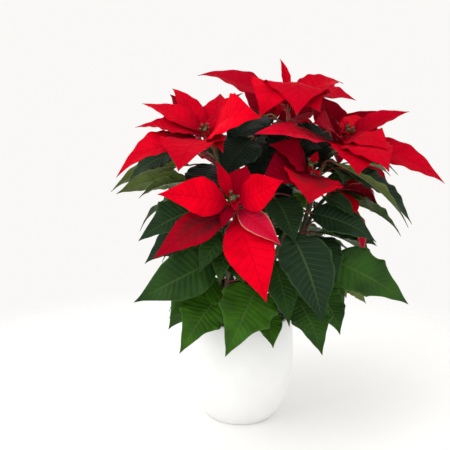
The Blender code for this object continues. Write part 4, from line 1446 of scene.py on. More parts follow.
class Growth:
    """A geometry tree that takes a geometry, its own named inputs and a material."""

    name = "growth"
    inputs: dict[str, str] = {}

    def shape(self, wire: Wiring, given: Sockets) -> Socket:
        """What the tree grows. Each tree has its own."""
        raise NotImplementedError

    def tree(self) -> NodeTree:
        """Make the tree, which ends in real geometry with its material set.

        Returns:
            The tree.
        """
        sockets = {"Geometry": "Geometry", **self.inputs, "Material": "Material"}
        wire, given, result = new_group(self.name, sockets, {"Geometry": "Geometry"},
                                        "GeometryNodeTree")
        shape = self.shape(wire, dict(given.outputs.items()))
        real = wire.add("GeometryNodeRealizeInstances", {"Geometry": shape}).outputs[0]
        dressed = wire.add("GeometryNodeSetMaterial",
                           {"Geometry": real, "Material": given.outputs["Material"]})
        wire.feed(result.inputs["Geometry"], dressed.outputs[0])
        return wire.tree


class RoundLimbs(Growth):
    """Round limbs along curves, thick as the curve's own radius."""

    name = "round_limbs"
    inputs = {"Sides": "Int"}

    def shape(self, wire: Wiring, given: Sockets) -> Socket:
        """Sweep a circle along the curves.

        Args:
            wire: The tree's wiring.
            given: The tree's inputs.

        Returns:
            The limbs, with how far along each point lies.
        """
        along = wire.add("GeometryNodeSplineParameter").outputs["Factor"]
        marked = wire.add("GeometryNodeStoreNamedAttribute",
                          {"Geometry": given["Geometry"], "Name": "along", "Value": along},
                          data_type="FLOAT", domain="POINT")
        ring = wire.add("GeometryNodeCurvePrimitiveCircle",
                        {"Resolution": given["Sides"], "Radius": 1.0})
        tube = wire.add("GeometryNodeCurveToMesh",
                        {"Curve": marked.outputs[0], "Profile Curve": ring.outputs[0],
                         "Scale": wire.add("GeometryNodeInputRadius").outputs[0],
                         "Fill Caps": True})
        return wire.add("GeometryNodeSetShadeSmooth", {"Geometry": tube.outputs[0]}).outputs[0]


class SoilCrumbs(Growth):
    """Crumbs scattered over a surface."""

    name = "soil_crumbs"
    inputs = {"Density": "Float", "Small": "Float", "Large": "Float", "Seed": "Int"}
    lumps = 1.4
    centre = (-0.5, -0.5, -0.5)
    most_turn = (6.28, 6.28, 6.28)

    def shape(self, wire: Wiring, given: Sockets) -> Socket:
        """Scatter lumpy crumbs of many sizes.

        Args:
            wire: The tree's wiring.
            given: The tree's inputs.

        Returns:
            The crumbs.
        """
        seed = given["Seed"]
        points = wire.add("GeometryNodeDistributePointsOnFaces",
                          {"Mesh": given["Geometry"], "Density": given["Density"], "Seed": seed})
        crumb = wire.add("GeometryNodeMeshIcoSphere", {"Radius": 1.0, "Subdivisions": 1})
        rough = wire.add("ShaderNodeTexNoise", {"Scale": self.lumps})
        shift = wire.vector("ADD", {0: rough.outputs[1], 1: self.centre})
        lumpy = wire.add("GeometryNodeSetPosition",
                         {"Geometry": crumb.outputs[0], "Offset": shift})
        smooth = wire.add("GeometryNodeSetShadeSmooth", {"Geometry": lumpy.outputs[0]})
        size = wire.add("FunctionNodeRandomValue",
                        {2: given["Small"], 3: given["Large"], "Seed": seed}, data_type="FLOAT")
        turn = wire.add("FunctionNodeRandomValue",
                        {0: (0.0, 0.0, 0.0), 1: self.most_turn, "Seed": seed},
                        data_type="FLOAT_VECTOR")
        sockets = {"Points": points.outputs[0], "Instance": smooth.outputs[0],
                   "Rotation": turn.outputs[0], "Scale": size.outputs[1]}
        return wire.add("GeometryNodeInstanceOnPoints", sockets).outputs[0]


class BudRing(Growth):
    """One shape repeated in a ring, each leaning outwards."""

    name = "bud_ring"
    inputs = {"Count": "Int", "Radius": "Float", "Lean": "Float", "Seed": "Int"}
    sizes = (0.85, 1.05)

    def shape(self, wire: Wiring, given: Sockets) -> Socket:
        """Stand the shape on each point of a ring.

        Args:
            wire: The tree's wiring.
            given: The tree's inputs.

        Returns:
            The ring of shapes.
        """
        ring = wire.add("GeometryNodeMeshCircle",
                        {"Vertices": given["Count"], "Radius": given["Radius"]})
        way = wire.vector("NORMALIZE", {0: wire.add("GeometryNodeInputPosition").outputs[0]})
        spread = wire.vector("SCALE", {0: way, "Scale": given["Lean"]})
        up = wire.vector("ADD", {0: spread, 1: tuple(UP)})
        turn = wire.add("FunctionNodeAlignRotationToVector", {"Vector": up}, axis="Z")
        small, large = self.sizes
        size = wire.add("FunctionNodeRandomValue", {2: small, 3: large, "Seed": given["Seed"]},
                        data_type="FLOAT")
        sockets = {"Points": ring.outputs[0], "Instance": given["Geometry"],
                   "Rotation": turn.outputs[0], "Scale": size.outputs[1]}
        return wire.add("GeometryNodeInstanceOnPoints", sockets).outputs[0]


def turned(profile: Sequence[Span], steps: int,
           shape: Optional[Heights] = None) -> tuple[np.ndarray, Faces]:
    """A turned form from a profile that starts and ends on the axis.

    Args:
        profile: Radius and height pairs, in millimetres, running down the outer side.
        steps: Facets around.
        shape: Gives the height of a point from its x, y and plain height.

    Returns:
        Its points and faces, closed at both poles.
    """
    points = [(0.0, 0.0, profile[0][1])]
    faces = []
    angles = [math.tau * i / steps for i in range(steps)]
    rings = profile[1:-1]
    for radius, height in rings:
        points += [(radius * math.cos(a), radius * math.sin(a), height) for a in angles]
    last = len(points)
    points.append((0.0, 0.0, profile[-1][1]))
    if shape:
        points = [(x, y, shape(x, y, z)) for x, y, z in points]
    for i in range(steps):
        j = (i + 1) % steps
        faces.append((0, 1 + i, 1 + j))
        for ring in range(len(rings) - 1):
            a, b = 1 + ring * steps, 1 + (ring + 1) * steps
            faces.append((a + i, b + i, b + j, a + j))
        end = 1 + (len(rings) - 1) * steps
        faces.append((end + i, last, end + j))
    return np.array(points), faces


def turned_mesh(name: str, profile: Sequence[Span], steps: int,
                shape: Optional[Heights] = None) -> Mesh:
    """A turned form as a mesh of its own.

    Args:
        name: The mesh's name.
        profile: Radius and height pairs, as for turned.
        steps: Facets around.
        shape: Gives the height of a point, as for turned.

    Returns:
        The mesh.
    """
    shell = Shell()
    shell.add(*turned(profile, steps, shape))
    return shell.mesh(name)


def arc(points: Sequence[Span], steps: int) -> list[Span]:
    """Points along a flat Bezier curve."""
    return [(p.x, p.y) for p in bezier([Vector(point) for point in points], steps)]


@dataclass
class CoverPot:
    """The rounded white cover pot."""

    height: float = 142.0
    foot_radius: float = 46.0
    belly_radius: float = 72.5
    belly_height: float = 90.0
    rim_radius: float = 69.5
    wall: float = 4.5
    floor: float = 5.0
    shoulder: Span = (2.0, 20.0)
    belly_pull: float = 18.0
    waist_height: float = 48.0
    hip: Span = (62.0, 18.0)
    rim_round: float = 1.6
    rim_crown: float = 0.1
    foot_round: float = 1.2
    foot_ring: float = 4.0
    arc_steps: tuple[int, ...] = (16, 24, 8, 4)
    steps: int = 128

    def profile(self) -> list[Span]:
        """The cross section.

        Returns:
            Radius and height pairs from the inside of the floor over the rim to the foot.
        """
        flare, drop = self.shoulder
        upper_steps, lower_steps, rim_steps, foot_steps = self.arc_steps
        rim, foot = self.rim_radius, self.foot_radius
        upper = arc(((rim, self.height - 2.0), (rim + flare, self.height - drop),
                     (self.belly_radius, self.belly_height + self.belly_pull),
                     (self.belly_radius, self.belly_height)), upper_steps)
        lower = arc(((self.belly_radius, self.belly_height),
                     (self.belly_radius, self.waist_height), self.hip,
                     (foot + self.foot_round, self.foot_round)), lower_steps)
        outer = upper + lower[1:]
        inner = [(radius - self.wall, height) for radius, height in outer
                 if height > 2.0 * self.floor]
        edge = self.height - self.rim_round
        crown = arc(((rim - self.wall, edge), (rim - self.wall + self.rim_crown, self.height),
                     (rim - self.rim_crown, self.height), (rim, edge)), rim_steps)
        turn = arc(((foot + self.foot_round, self.foot_round), (foot + 0.6, 0.1),
                    (foot - 0.8, 0.0)), foot_steps)
        inside = [(0.0, self.floor), (foot - self.wall, self.floor)]
        under = [(foot - self.foot_ring, 0.0), (0.0, 0.0)]
        return inside + inner[::-1] + crown + outer[1:] + turn[1:] + under

    def dress(self, glaze: Material) -> list[Object]:
        """Build the pot in its glaze."""
        mesh = turned_mesh("cover_pot_fine", self.profile(), self.steps)
        return [piece("cover_pot_fine", mesh, glaze, "white_ceramic", "cover_pot")]


@dataclass
class NurseryPot:
    """The thin black pot inside, with a lip that is turned down."""

    rim_radius: float = 62.5
    foot_radius: float = 45.0
    top: float = 131.0
    base: float = 5.3
    wall: float = 1.2
    lip: float = 8.0
    lip_reach: float = 1.6
    lip_round: float = 0.4
    lip_gap: float = 0.1
    corner: Span = (4.0, 8.0)
    inner_corner: float = 9.0
    inner_round: Span = (0.6, 0.8)
    outer_round: Span = (0.6, 0.7)
    bevel: float = 0.25
    steps: int = 96

    def radius(self, height: float) -> float:
        """The outer radius of the tapered wall at a height."""
        share = (height - self.base) / (self.top - self.base)
        return between((self.foot_radius, self.rim_radius - self.lip_reach), share)

    def profile(self) -> list[Span]:
        """The cross section.

        Returns:
            Radius and height pairs from the inside of the floor over the rim to the foot.
        """
        low, floor = self.top - self.lip, self.base + self.wall
        inner, outer = self.base + self.inner_corner, self.base + self.corner[1]
        inside = self.radius(self.top) - self.wall
        return [(0.0, floor), (self.foot_radius - self.wall - self.corner[0], floor),
                (self.radius(inner) - self.wall, inner),
                (inside, self.top - self.inner_round[1]), (inside + self.inner_round[0], self.top),
                (self.rim_radius - self.outer_round[0], self.top),
                (self.rim_radius, self.top - self.outer_round[1]),
                (self.rim_radius, low + self.lip_round), (self.rim_radius - self.lip_round, low),
                (self.radius(low) + self.lip_gap, low), (self.radius(outer), outer),
                (self.foot_radius - self.corner[0], self.base), (0.0, self.base)]

    def dress(self, plastic: Material) -> list[Object]:
        """Build the pot in its plastic, with softened edges.

        Args:
            plastic: Its finish.

        Returns:
            The one piece.
        """
        mesh = turned_mesh("nursery_pot_fine", self.profile(), self.steps)
        obj = piece("nursery_pot_fine", mesh, plastic, "black_plastic", "nursery_pot")
        edges = obj.modifiers.new("edges", "BEVEL")
        edges.width = self.bevel * MM
        edges.segments = 2
        edges.limit_method = "ANGLE"
        return [obj]


@dataclass
class SoilBed:
    """The peat that fills the nursery pot, with crumbs on top."""

    top: float = SOIL_TOP
    mound: float = 3.0
    base: float = 6.8
    radius: float = 57.2
    foot_radius: float = 38.4
    corner: Span = (1.0, 9.0)
    edge_drop: float = 1.5
    rings: int = 30
    steps: int = 96
    unevenness: float = 1.6
    lumps: float = 0.12
    small_lumps: float = 0.4
    small_share: float = 0.5
    edge_calm: float = 0.7
    crumb_slope: float = 0.5
    crumb_density: float = 60000.0
    crumb_sizes: Span = (0.0006, 0.0021)
    seed: int = 4

    def height(self, x: float, y: float, z: float) -> float:
        """The uneven height of the soil.

        Args:
            x: The point's place.
            y: The point's place.
            z: Its height on the plain mound.

        Returns:
            Its height on the uneven mound, in millimetres.
        """
        if z < self.top - self.mound:
            return z
        reach = math.hypot(x, y) / self.radius
        rough = (noise.noise(Vector((x, y, 0.0)) * self.lumps)
                 + self.small_share * noise.noise(Vector((x, y, 9.0)) * self.small_lumps))
        return z + self.unevenness * rough * (1.0 - self.edge_calm * reach ** 4)

    def build(self) -> Mesh:
        """The body of the soil.

        Returns:
            The mesh.
        """
        shares = [i / self.rings for i in range(self.rings)]
        profile = [(self.radius * share, self.top + self.mound * (1.0 - share ** 2))
                   for share in shares]
        inset, rise = self.corner
        profile += [(self.radius, self.top - self.edge_drop),
                    (self.foot_radius + inset, self.base + rise),
                    (self.foot_radius, self.base), (0.0, self.base)]
        return turned_mesh("soil_fine", profile, self.steps, self.height)

    def crumbs(self, peat: Material) -> Mesh:
        """Crumbs over the top of the soil.

        Args:
            peat: Their finish.

        Returns:
            The mesh.
        """
        shape = bmesh.new()
        shape.from_mesh(self.build())
        lowest = (self.top - 1.0) * MM
        hidden = [face for face in shape.faces if face.normal.z < self.crumb_slope
                  or face.calc_center_median().z < lowest]
        bmesh.ops.delete(shape, geom=hidden, context="FACES")
        bed = bpy.data.meshes.new("bed")
        shape.to_mesh(bed)
        shape.free()
        small, large = self.crumb_sizes
        return grown(stand("bed", bed), SoilCrumbs().tree(), Density=self.crumb_density,
                     Small=small, Large=large, Seed=self.seed, Material=peat)

    def dress(self, peat: Material) -> list[Object]:
        """Build the soil and its crumbs."""
        return [piece("soil_fine", self.build(), peat, "potting_soil", "soil"),
                piece("soil_crumbs", self.crumbs(peat), peat, "potting_soil")]


@dataclass
class BladeMaker:
    """Draws fine blades into a shell."""

    veins: int = 11
    rows_per_vein: int = 4
    side_columns: int = 7
    thickness: float = 0.5
    edge_thinning: float = 0.55
    tip_thickness: float = 0.16
    puff: float = 0.55
    ripple: float = 0.05
    ripples: Span = (4.5, 7.5)
    twist: float = 9.0
    cup: float = 0.05
    cup_spread: Span = (-0.5, 1.5)
    droop: float = 0.03
    droop_start: float = 0.75
    droop_spread: Span = (-0.3, 1.3)
    tone_spread: float = 0.12

    def grid(self) -> tuple[np.ndarray, np.ndarray, np.ndarray]:
        """The grid that all blades share.

        Returns:
            Places along the blade, places across it, and each row's own place along the midrib.
        """
        rows = self.veins * self.rows_per_vein
        row = np.linspace(0.0, 1.0, rows + 1)[:-1]
        side = np.linspace(-1.0, 1.0, 2 * self.side_columns + 1)
        row, side = np.meshgrid(row, side, indexing="ij")
        return row + VEIN_SLANT * np.abs(side) * hump(row), side, row

    def draw(self, shell: Shell, blade: Blade, seed: str) -> None:
        """Add one blade to a shell.

        Args:
            shell: The shell that it goes into.
            blade: The blade.
            seed: Names the blade's own random draws.
        """
        draw = random.Random(seed)
        share, side, row = self.grid()
        places, halves = blade.outline.fine()
        half = np.interp(share, places, halves) * blade.width / 2.0
        face = np.array(blade.axes()[1])
        out = np.abs(side)
        step = row * self.veins + SIDE_OFFSET * (side > 0.0)
        puff = self.puff * np.sin(np.pi * step) ** 2 * out * (1.0 - out ** 3)
        waves = draw.uniform(*self.ripples)
        phase = draw.uniform(0.0, math.tau)
        ripple = self.ripple * half * np.sin(math.tau * waves * share + phase + side) * out ** 3
        cup = self.cup * half * (out ** 2 - out) * draw.uniform(*self.cup_spread)
        fallen = np.clip((share - self.droop_start) / (1.0 - self.droop_start), 0.0, 1.0) ** 2
        droop = -self.droop * blade.chord().length * fallen * draw.uniform(*self.droop_spread)
        turn = math.radians(self.twist) * draw.uniform(-1.0, 1.0) * share ** 2
        lift = puff + ripple + cup + droop + side * half * np.sin(turn)
        points = blade.surface(share, side, half, FOLD_SOFTNESS) + lift[..., None] * face
        tip = np.array(blade.tip) + face * droop[-1, self.side_columns]
        points, below = self.thicken(points, side, tip, face)
        uv = np.stack([side.ravel() * 0.5 + 0.5, row.ravel()], axis=1)
        # The turning share is a bract's real turning from green; on a leaf it is painted shade.
        tone, turning, pale = blade.tint.value
        tone_draw = random.Random(str(tuple(round(c) for c in blade.tip)))
        tone += tone_draw.uniform(-self.tone_spread, self.tone_spread)
        shell.add(points, self.faces(*side.shape),
                  np.concatenate([uv, uv, [[0.5, 1.0], [0.5, 1.0]]]), under=below,
                  tone=min(max(tone, 0.0), 1.0), turning=turning, pale=pale, veins=self.veins)

    def thicken(self, points: np.ndarray, side: np.ndarray, tip: np.ndarray,
                face: np.ndarray) -> tuple[np.ndarray, np.ndarray]:
        """Give a sheet its upper and its under side.

        Args:
            points: The sheet's points, row by row.
            side: How far across the blade each lies, from -1 to 1.
            tip: The blade's tip.
            face: The way out of its upper face.

        Returns:
            The points above, the points below and two for the tip, and 1 for each one below.
        """
        normal = np.cross(np.gradient(points, axis=1), np.gradient(points, axis=0))
        normal /= np.maximum(np.linalg.norm(normal, axis=2, keepdims=True), 1e-9)
        normal *= np.sign((normal * face).sum(axis=2, keepdims=True))
        thin = self.thickness / 2.0 * (1.0 - self.edge_thinning * np.abs(side) ** 3)
        flat = points.reshape(-1, 3)
        offset = (normal * thin[..., None]).reshape(-1, 3)
        rise = face * self.tip_thickness / 2.0
        below = np.concatenate([np.zeros(len(flat)), np.ones(len(flat)), [0.0, 1.0]])
        return np.concatenate([flat + offset, flat - offset, [tip + rise, tip - rise]]), below

    @staticmethod
    def faces(rows: int, columns: int) -> Faces:
        """The faces of a thick sheet that ends in a tip.

        Args:
            rows: Rows of points along the sheet.
            columns: Points across it.

        Returns:
            Faces above, below, around the tip and along the rim, all turned outwards.
        """
        count = rows * columns
        top_tip, low_tip = 2 * count, 2 * count + 1
        faces = []
        for r in range(rows - 1):
            for c in range(columns - 1):
                a, b = r * columns + c, r * columns + c + 1
                d, e = a + columns, b + columns
                faces.append((a, b, e, d))
                faces.append((count + a, count + d, count + e, count + b))
        last = (rows - 1) * columns
        for c in range(columns - 1):
            faces.append((last + c, last + c + 1, top_tip))
            faces.append((count + last + c, low_tip, count + last + c + 1))
        rim = [r * columns for r in range(rows)] + [top_tip]
        rim += [r * columns + columns - 1 for r in reversed(range(rows))]
        rim += list(range(columns - 2, 0, -1))
        under = [low_tip if index == top_tip else index + count for index in rim]
        for i in range(len(rim)):
            j = (i + 1) % len(rim)
            faces.append((under[j], under[i], rim[i], rim[j]))
        return faces


def limb_curve(name: str, limbs: Sequence[Limb]) -> Object:
    """A curve object with one line for each limb.

    Args:
        name: The object's name.
        limbs: Each limb's points and its radius at each, in millimetres.

    Returns:
        The curve object.
    """
    curve = bpy.data.curves.new(name, "CURVE")
    curve.dimensions = "3D"
    for path, radii in limbs:
        spline = curve.splines.new("POLY")
        spline.points.add(len(path) - 1)
        for point, place, radius in zip(spline.points, path, radii):
            point.co = (*(place * MM), 1.0)
            point.radius = radius * MM
    return stand(name, curve)


@dataclass
class Shoots:
    """Small young leaves that stand along the branches, clear of everything else."""

    plan: Plan
    plant: str
    first: float = 0.05
    last: float = 0.96
    lengths: Span = (22.0, 42.0)
    growths: tuple[float, ...] = (1.7, 1.3, 1.0)
    stalks: Span = (9.0, 20.0)
    stalk_way: Span = (0.9, 0.35)
    stalk_bend: Span = (0.4, 1.5)
    droops: Span = (-0.1, 0.7)
    slimness: float = 0.56
    fresh_share: float = 0.4
    clearance: float = 2.2
    steps: int = 40

    def blades(self) -> list[Blade]:
        """The young leaves of one plant, each as long as its place allows.

        Returns:
            The leaves, branch by branch.
        """
        found = []
        for name, path in self.plan.limb_paths(self.steps).items():
            if self.plan.plant_of(name) != self.plant:
                continue
            draw = random.Random("shoots " + name)
            turn = draw.uniform(0.0, math.tau)
            for i in range(int(self.first * self.steps), int(self.last * self.steps)):
                turn += GOLDEN_ANGLE
                sprout = self.sprout(draw, path[i], path[i + 1], turn)
                for growth in self.growths:
                    reach = sprout.chord() * growth
                    blade = replace(sprout, tip=sprout.root + reach,
                                    width=reach.length * self.slimness)
                    if self.plan.clear(blade, self.clearance):
                        found.append(blade)
                        break
        return found

    def sprout(self, draw: random.Random, start: Vector, after: Vector, turn: float) -> Blade:
        """One young leaf at its shortest.

        Args:
            draw: The branch's own random draws.
            start: Where on the branch it stands.
            after: The branch's next point.
            turn: How far round the branch it stands, in radians.

        Returns:
            The leaf with its stalk.
        """
        along = (after - start).normalized()
        out = Matrix.Rotation(turn, 3, along) @ along.orthogonal().normalized()
        sideways, upwards = self.stalk_way
        root = start + (out * sideways + UP * upwards) * draw.uniform(*self.stalks)
        way = (out - UP * draw.uniform(*self.droops)).normalized()
        reach = way * draw.uniform(*self.lengths)
        tint = Tint.FRESH_GREEN if draw.random() < self.fresh_share else Tint.MID_GREEN
        bend, lift = self.stalk_bend
        return Blade(root, root + reach, reach.length * self.slimness, front=0.2, arch=0.12,
                     fold=16.0, wave=0.08, outline=PLAIN, tint=tint,
                     stalk=(start, root.lerp(start, bend) + UP * lift, root))


@dataclass
class LeafyStem:
    """One cutting: trunk, branches, leaf stalks and leaves."""

    name: str
    plan: Plan
    trunk_steps: int = 10
    trunk_swelling: Span = (0.3, 2.1)
    limb_steps: int = 28
    scar_spacing: int = 5
    scar_place: int = 2
    scar_swelling: float = 0.35
    stem_sides: int = 14
    stalk_sides: int = 8
    stalk_points: int = 12
    stalk_foot: float = 1.35
    rib_start: float = 0.06
    rib_radii: Span = (0.85, 0.25)
    rib_points: int = 10
    shoot_scale: float = 0.6
    shoots: list[Blade] = field(init=False)

    def __post_init__(self) -> None:
        """Find the young leaves along the branches."""
        self.shoots = Shoots(self.plan, self.name).blades()

    def stems(self) -> list[Limb]:
        """The trunk and branches, swollen where leaves stood.

        Returns:
            Their points with the radius at each.
        """
        foot, top = TRUNKS[self.name]
        size, pace = self.trunk_swelling
        shares = [i / self.trunk_steps for i in range(self.trunk_steps + 1)]
        limbs = [([foot.lerp(top, share) for share in shares],
                  [between(TRUNK_RADII, share) + size * math.sin(pace * i)
                   for i, share in enumerate(shares)])]
        for name, path in self.plan.limb_paths(self.limb_steps).items():
            if self.plan.plant_of(name) == self.name:
                radii = [between(BRANCH_RADII, i / (len(path) - 1)) for i in range(len(path))]
                for i in range(self.scar_place, len(path), self.scar_spacing):
                    radii[i] += self.scar_swelling
                limbs.append((path, radii))
        return limbs

    def stalks(self) -> list[Limb]:
        """Each leaf's stalk, running on as the midrib under the blade.

        Returns:
            Their points with the radius at each.
        """
        limbs = []
        leaves = self.plan.leaves[self.name]
        scales = [1.0] * len(leaves) + [self.shoot_scale] * len(self.shoots)
        for scale, blade in zip(scales, leaves + self.shoots):
            path, radii = blade.rib(self.rib_start, self.rib_points, self.rib_radii)
            radii = [self.stalk_foot] + [STALK_RADIUS] * self.stalk_points + radii
            limbs.append((bezier(blade.stalk, self.stalk_points) + path,
                          [scale * radius for radius in radii]))
        return limbs

    def blades(self) -> Mesh:
        """The leaves, old and young.

        Returns:
            The mesh.
        """
        shell = Shell()
        maker = BladeMaker(veins=16, side_columns=6)
        for number, blade in enumerate(self.plan.leaves[self.name]):
            maker.draw(shell, blade, f"leaf {self.name} {number}")
        maker = BladeMaker(veins=9, rows_per_vein=3, side_columns=4, puff=0.3, thickness=0.4)
        for number, blade in enumerate(self.shoots):
            maker.draw(shell, blade, f"shoot {self.name} {number}")
        return shell.mesh("leaves_" + self.name)

    def dress(self, tubes: NodeTree, green: Material, bark: Material,
              stalk: Material) -> list[Object]:
        """Build the stems, stalks and leaves in their finishes.

        Args:
            tubes: The tree that makes round limbs.
            green: The leaves' finish.
            bark: The stems' finish.
            stalk: The stalks' finish.

        Returns:
            The three pieces.
        """
        node = "leafy_stem_" + self.name
        stems = grown(limb_curve("stems", self.stems()), tubes, Sides=self.stem_sides,
                      Material=bark)
        stalks = grown(limb_curve("stalks", self.stalks()), tubes, Sides=self.stalk_sides,
                       Material=stalk)
        return [piece("stems_" + self.name, stems, bark, "green_leaf", node),
                piece("stalks_" + self.name, stalks, stalk, "green_leaf", node),
                piece("leaves_" + self.name, self.blades(), green, "green_leaf", node)]


@dataclass
class YoungBracts:
    """Small dark bracts that stand around a bloom's buds, clear of the large ones."""

    head: Head
    plan: Plan
    count: int = 9
    depths: Span = (7.0, 13.0)
    leans: Span = (38.0, 82.0)
    lengths: Span = (17.0, 34.0)
    length_spread: Span = (0.85, 1.15)
    root_offset: float = 0.5
    slimness: float = 0.46
    crimson_share: float = 0.6
    clearance: float = 0.7
    start: float = 0.30

    def blades(self) -> list[Blade]:
        """The young bracts of one bloom, longer and lower outwards.

        Returns:
            The bracts that have room.
        """
        draw = random.Random("young " + self.head.name)
        axis = self.head.axis()
        side = axis.orthogonal().normalized()
        found = []
        for i in range(self.count):
            share = i / (self.count - 1)
            out = Matrix.Rotation(i * GOLDEN_ANGLE, 3, axis) @ side
            lean = math.radians(between(self.leans, share))
            length = between(self.lengths, share) * draw.uniform(*self.length_spread)
            root = (self.head.top - axis * between(self.depths, share)
                    + out * (self.root_offset * CORE_RADIUS))
            tip = root + (axis * math.cos(lean) + out * math.sin(lean)) * length
            tint = Tint.CRIMSON if draw.random() < self.crimson_share else Tint.RUBY
            blade = Blade(root, tip, length * self.slimness, front=0.0, arch=0.10, fold=14.0,
                          wave=0.06, outline=SLIM, tint=tint)
            if self.plan.clear(blade, self.clearance, self.start):
                found.append(blade)
        return found


@dataclass
class Cyathium:
    """One bud: a cup with a lip-shaped gland and a tuft of stamens."""

    cup: tuple[Span, ...] = ((0.0, 2.0 * BUD_LENGTH), (1.9, 6.2), (2.5, 3.4), (1.2, 0.2),
                             (0.0, 0.0))
    cup_steps: tuple[int, int] = (12, 14)
    gland: tuple[Span, ...] = ((0.0, 0.9), (1.2, 0.9), (1.3, -0.5), (0.0, -0.5))
    gland_steps: tuple[int, int] = (6, 10)
    gland_stretch: Place = (0.75, 1.15, 1.0)
    gland_place: Place = (1.75, 0.0, 5.0)
    grain: tuple[Span, ...] = ((0.0, 1.0), (0.55, 0.9), (0.5, 0.0), (0.0, -1.4))
    grain_steps: tuple[int, int] = (5, 7)
    grains: int = 6
    grain_height: float = 6.5
    grain_reach: Span = (0.25, 0.90)

    def build(self) -> Mesh:
        """The bud.

        Returns:
            The mesh, with each point's zone.
        """
        shell = Shell()
        along, around = self.cup_steps
        shell.add(*turned(arc(self.cup, along), around), zone=Zone.CUP.value)
        along, around = self.gland_steps
        points, faces = turned(arc(self.gland, along), around)
        points = points * np.array(self.gland_stretch) + np.array(self.gland_place)
        shell.add(points, faces, zone=Zone.GLAND.value)
        along, around = self.grain_steps
        points, faces = turned(arc(self.grain, along), around)
        for i in range(self.grains):
            turn = i * GOLDEN_ANGLE
            reach = between(self.grain_reach, i / (self.grains - 1))
            place = [reach * math.cos(turn), reach * math.sin(turn), self.grain_height]
            shell.add(points + np.array(place), faces, zone=Zone.TUFT.value)
        return shell.mesh("bud")


@dataclass
class Bloom:
    """A whorl of bracts on its core, around a knot of cyathia."""

    head: Head
    plan: Plan
    core_radii: tuple[float, ...] = (2.8, 2.9, 3.0, 3.2, 3.4, 3.6, 3.7, 3.6, 3.2)
    rib_radii: Span = (1.0, 0.2)
    rib_points: int = 12
    rib_sides: int = 7
    bud_lean: float = 0.45
    seat: tuple[Span, ...] = ((0.0, 1.6), (2.2, 1.5), (4.2, 0.9), (3.9, 0.0), (0.0, 0.0))
    seat_steps: int = 16

    def bracts(self) -> Mesh:
        """The bracts, old and young.

        Returns:
            The mesh.
        """
        shell = Shell()
        maker = BladeMaker(puff=0.5, ripple=0.045, twist=12.0, cup=0.09, droop=0.05)
        for number, blade in enumerate(self.plan.blooms[self.head.name]):
            maker.draw(shell, blade, f"bract {self.head.name} {number}")
        maker = BladeMaker(veins=8, rows_per_vein=3, side_columns=4, puff=0.25, thickness=0.4)
        for number, blade in enumerate(YoungBracts(self.head, self.plan).blades()):
            maker.draw(shell, blade, f"young bract {self.head.name} {number}")
        return shell.mesh("bracts_fine_" + self.head.name)

    def cores(self) -> list[Limb]:
        """The bloom's core and the midribs of its bracts.

        Returns:
            Their points with the radius at each.
        """
        foot, top = self.head.foot(), self.head.top
        last = len(self.core_radii) - 1
        limbs = [([foot.lerp(top, i / last) for i in range(last + 1)], list(self.core_radii))]
        for blade in self.plan.blooms[self.head.name]:
            limbs.append(blade.rib(0.0, self.rib_points, self.rib_radii))
        return limbs

    def knot(self, ring: NodeTree, finish: Material) -> Mesh:
        """The knot of cyathia on its seat, turned to look where the bloom does.

        Args:
            ring: The tree that sets buds in a ring.
            finish: Their finish.

        Returns:
            The mesh.
        """
        head = self.head
        mesh = grown(stand("bud", Cyathium().build()), ring, Count=head.buds,
                     Radius=BUD_RING_RADIUS * MM, Lean=self.bud_lean, Seed=ord(head.name),
                     Material=finish)
        seat = turned_mesh("seat", self.seat, self.seat_steps)
        seat.attributes.new("zone", "FLOAT", "POINT")
        shape = bmesh.new()
        shape.from_mesh(mesh)
        shape.from_mesh(seat)
        turn = head.axis().to_track_quat("Z", "Y").to_matrix().to_4x4()
        shape.transform(Matrix.Translation((head.top + head.axis() * CONTACT_GAP) * MM) @ turn)
        shape.to_mesh(mesh)
        shape.free()
        smooth_faces(mesh)
        return mesh

    def dress(self, tubes: NodeTree, ring: NodeTree, red: Material, core: Material,
              bud: Material) -> list[Object]:
        """Build the bracts, the core with its midribs, and the cyathia in their finishes.

        Args:
            tubes: The tree that makes round limbs.
            ring: The tree that sets buds in a ring.
            red: The bracts' finish.
            core: The finish of the core and midribs.
            bud: The cyathia's finish.

        Returns:
            The three pieces.
        """
        name = self.head.name
        node = "bracts_" + name
        ribs = grown(limb_curve("cores", self.cores()), tubes, Sides=self.rib_sides,
                     Material=core)
        return [piece("bracts_fine_" + name, self.bracts(), red, "red_bract", node),
                piece("ribs_" + name, ribs, core, "red_bract", node),
                piece("cyathia_fine_" + name, self.knot(ring, bud), bud, "yellow_bud",
                      "cyathia_" + name)]


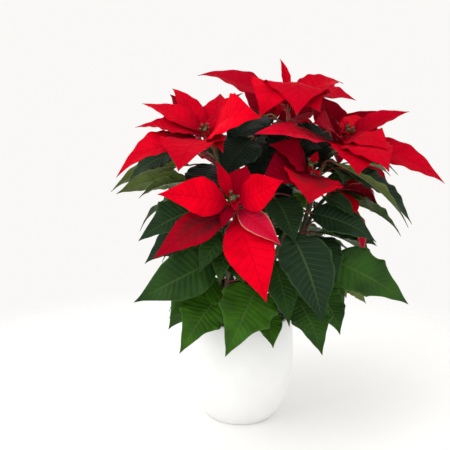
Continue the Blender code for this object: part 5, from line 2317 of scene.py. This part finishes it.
@dataclass
class Studio:
    """The pale floor, the soft light and the camera."""

    camera_place: Place = (-0.021, -0.8236, 0.3917)
    camera_pitch: float = 81.0
    lens: float = 50.0
    sensor: float = 36.0
    floor_size: float = 4.0
    sky: Colour = (1.0, 0.99, 0.975)
    sky_strength: float = 1.22
    backdrop: Colour = (0.955, 0.942, 0.925)
    key_place: Place = (-1.1, -1.0, 1.7)
    key_target: Place = (0.02, 0.0, 0.25)
    key_size: float = 1.4
    key_power: float = 13.0

    def floor(self) -> None:
        """Lay the floor."""
        half = self.floor_size / 2.0
        corners = [(-half, -half, 0.0), (half, -half, 0.0), (half, half, 0.0), (-half, half, 0.0)]
        mesh = bpy.data.meshes.new("floor")
        mesh.from_pydata(corners, [], [(0, 1, 2, 3)])
        mesh.materials.append(FloorFinish().material())
        stand("floor", mesh)

    def light(self) -> None:
        """Hang the key light, and give the sky its light and the backdrop its colour."""
        lamp = bpy.data.lights.new("key", "AREA")
        lamp.shape = "DISK"
        lamp.size = self.key_size
        lamp.energy = self.key_power
        key = stand("key", lamp)
        key.location = self.key_place
        aim = Vector(self.key_target) - key.location
        key.rotation_euler = aim.to_track_quat("-Z", "Y").to_euler()
        world = bpy.data.worlds.new("studio")
        world.use_nodes = True
        wire = Wiring(world.node_tree)
        seen = wire.add("ShaderNodeLightPath").outputs["Is Camera Ray"]
        glow = tuple(self.sky_strength * channel for channel in self.sky)
        background = world.node_tree.nodes["Background"]
        wire.feed(background.inputs["Color"], wire.mix(seen, glow, self.backdrop))
        bpy.context.scene.world = world

    def camera(self) -> None:
        """Set up the camera at the photograph's place and angle."""
        camera = stand("camera", bpy.data.cameras.new("camera"))
        camera.location = self.camera_place
        camera.rotation_euler = (math.radians(self.camera_pitch), 0.0, 0.0)
        camera.data.lens = self.lens
        camera.data.sensor_width = self.sensor
        bpy.context.scene.camera = camera

    def build(self) -> None:
        """Set up the stage."""
        self.floor()
        self.light()
        self.camera()
        bpy.context.scene.view_settings.view_transform = "Standard"


def report(pieces: Iterable[Object]) -> None:
    """Log each finished piece."""
    for obj in pieces:
        log.info("%s: %d faces", obj.name, len(obj.data.polygons))


def main() -> None:
    """Build every piece in order."""
    logging.basicConfig(level=logging.INFO, format="%(message)s")
    plan = Plan(frame["nodes"])
    veins, mottle = VeinPattern().tree(), Mottling().tree()
    report(CoverPot().dress(CeramicFinish(mottle).material()))
    report(NurseryPot().dress(PlasticFinish(mottle).material()))
    report(SoilBed().dress(SoilFinish(mottle).material()))
    tubes, ring = RoundLimbs().tree(), BudRing().tree()
    green, bark = LeafFinish(mottle, veins=veins).material(), StemFinish(mottle).material()
    stalk = StalkFinish(mottle).material()
    for name in TRUNKS:
        report(LeafyStem(name, plan).dress(tubes, green, bark, stalk))
    red, bud = BractFinish(mottle, veins=veins).material(), BudFinish(mottle).material()
    core = RibFinish(mottle).material()
    for head in plan.heads:
        report(Bloom(head, plan).dress(tubes, ring, red, core, bud))
    Studio().build()


if __name__ == "__main__":
    main()
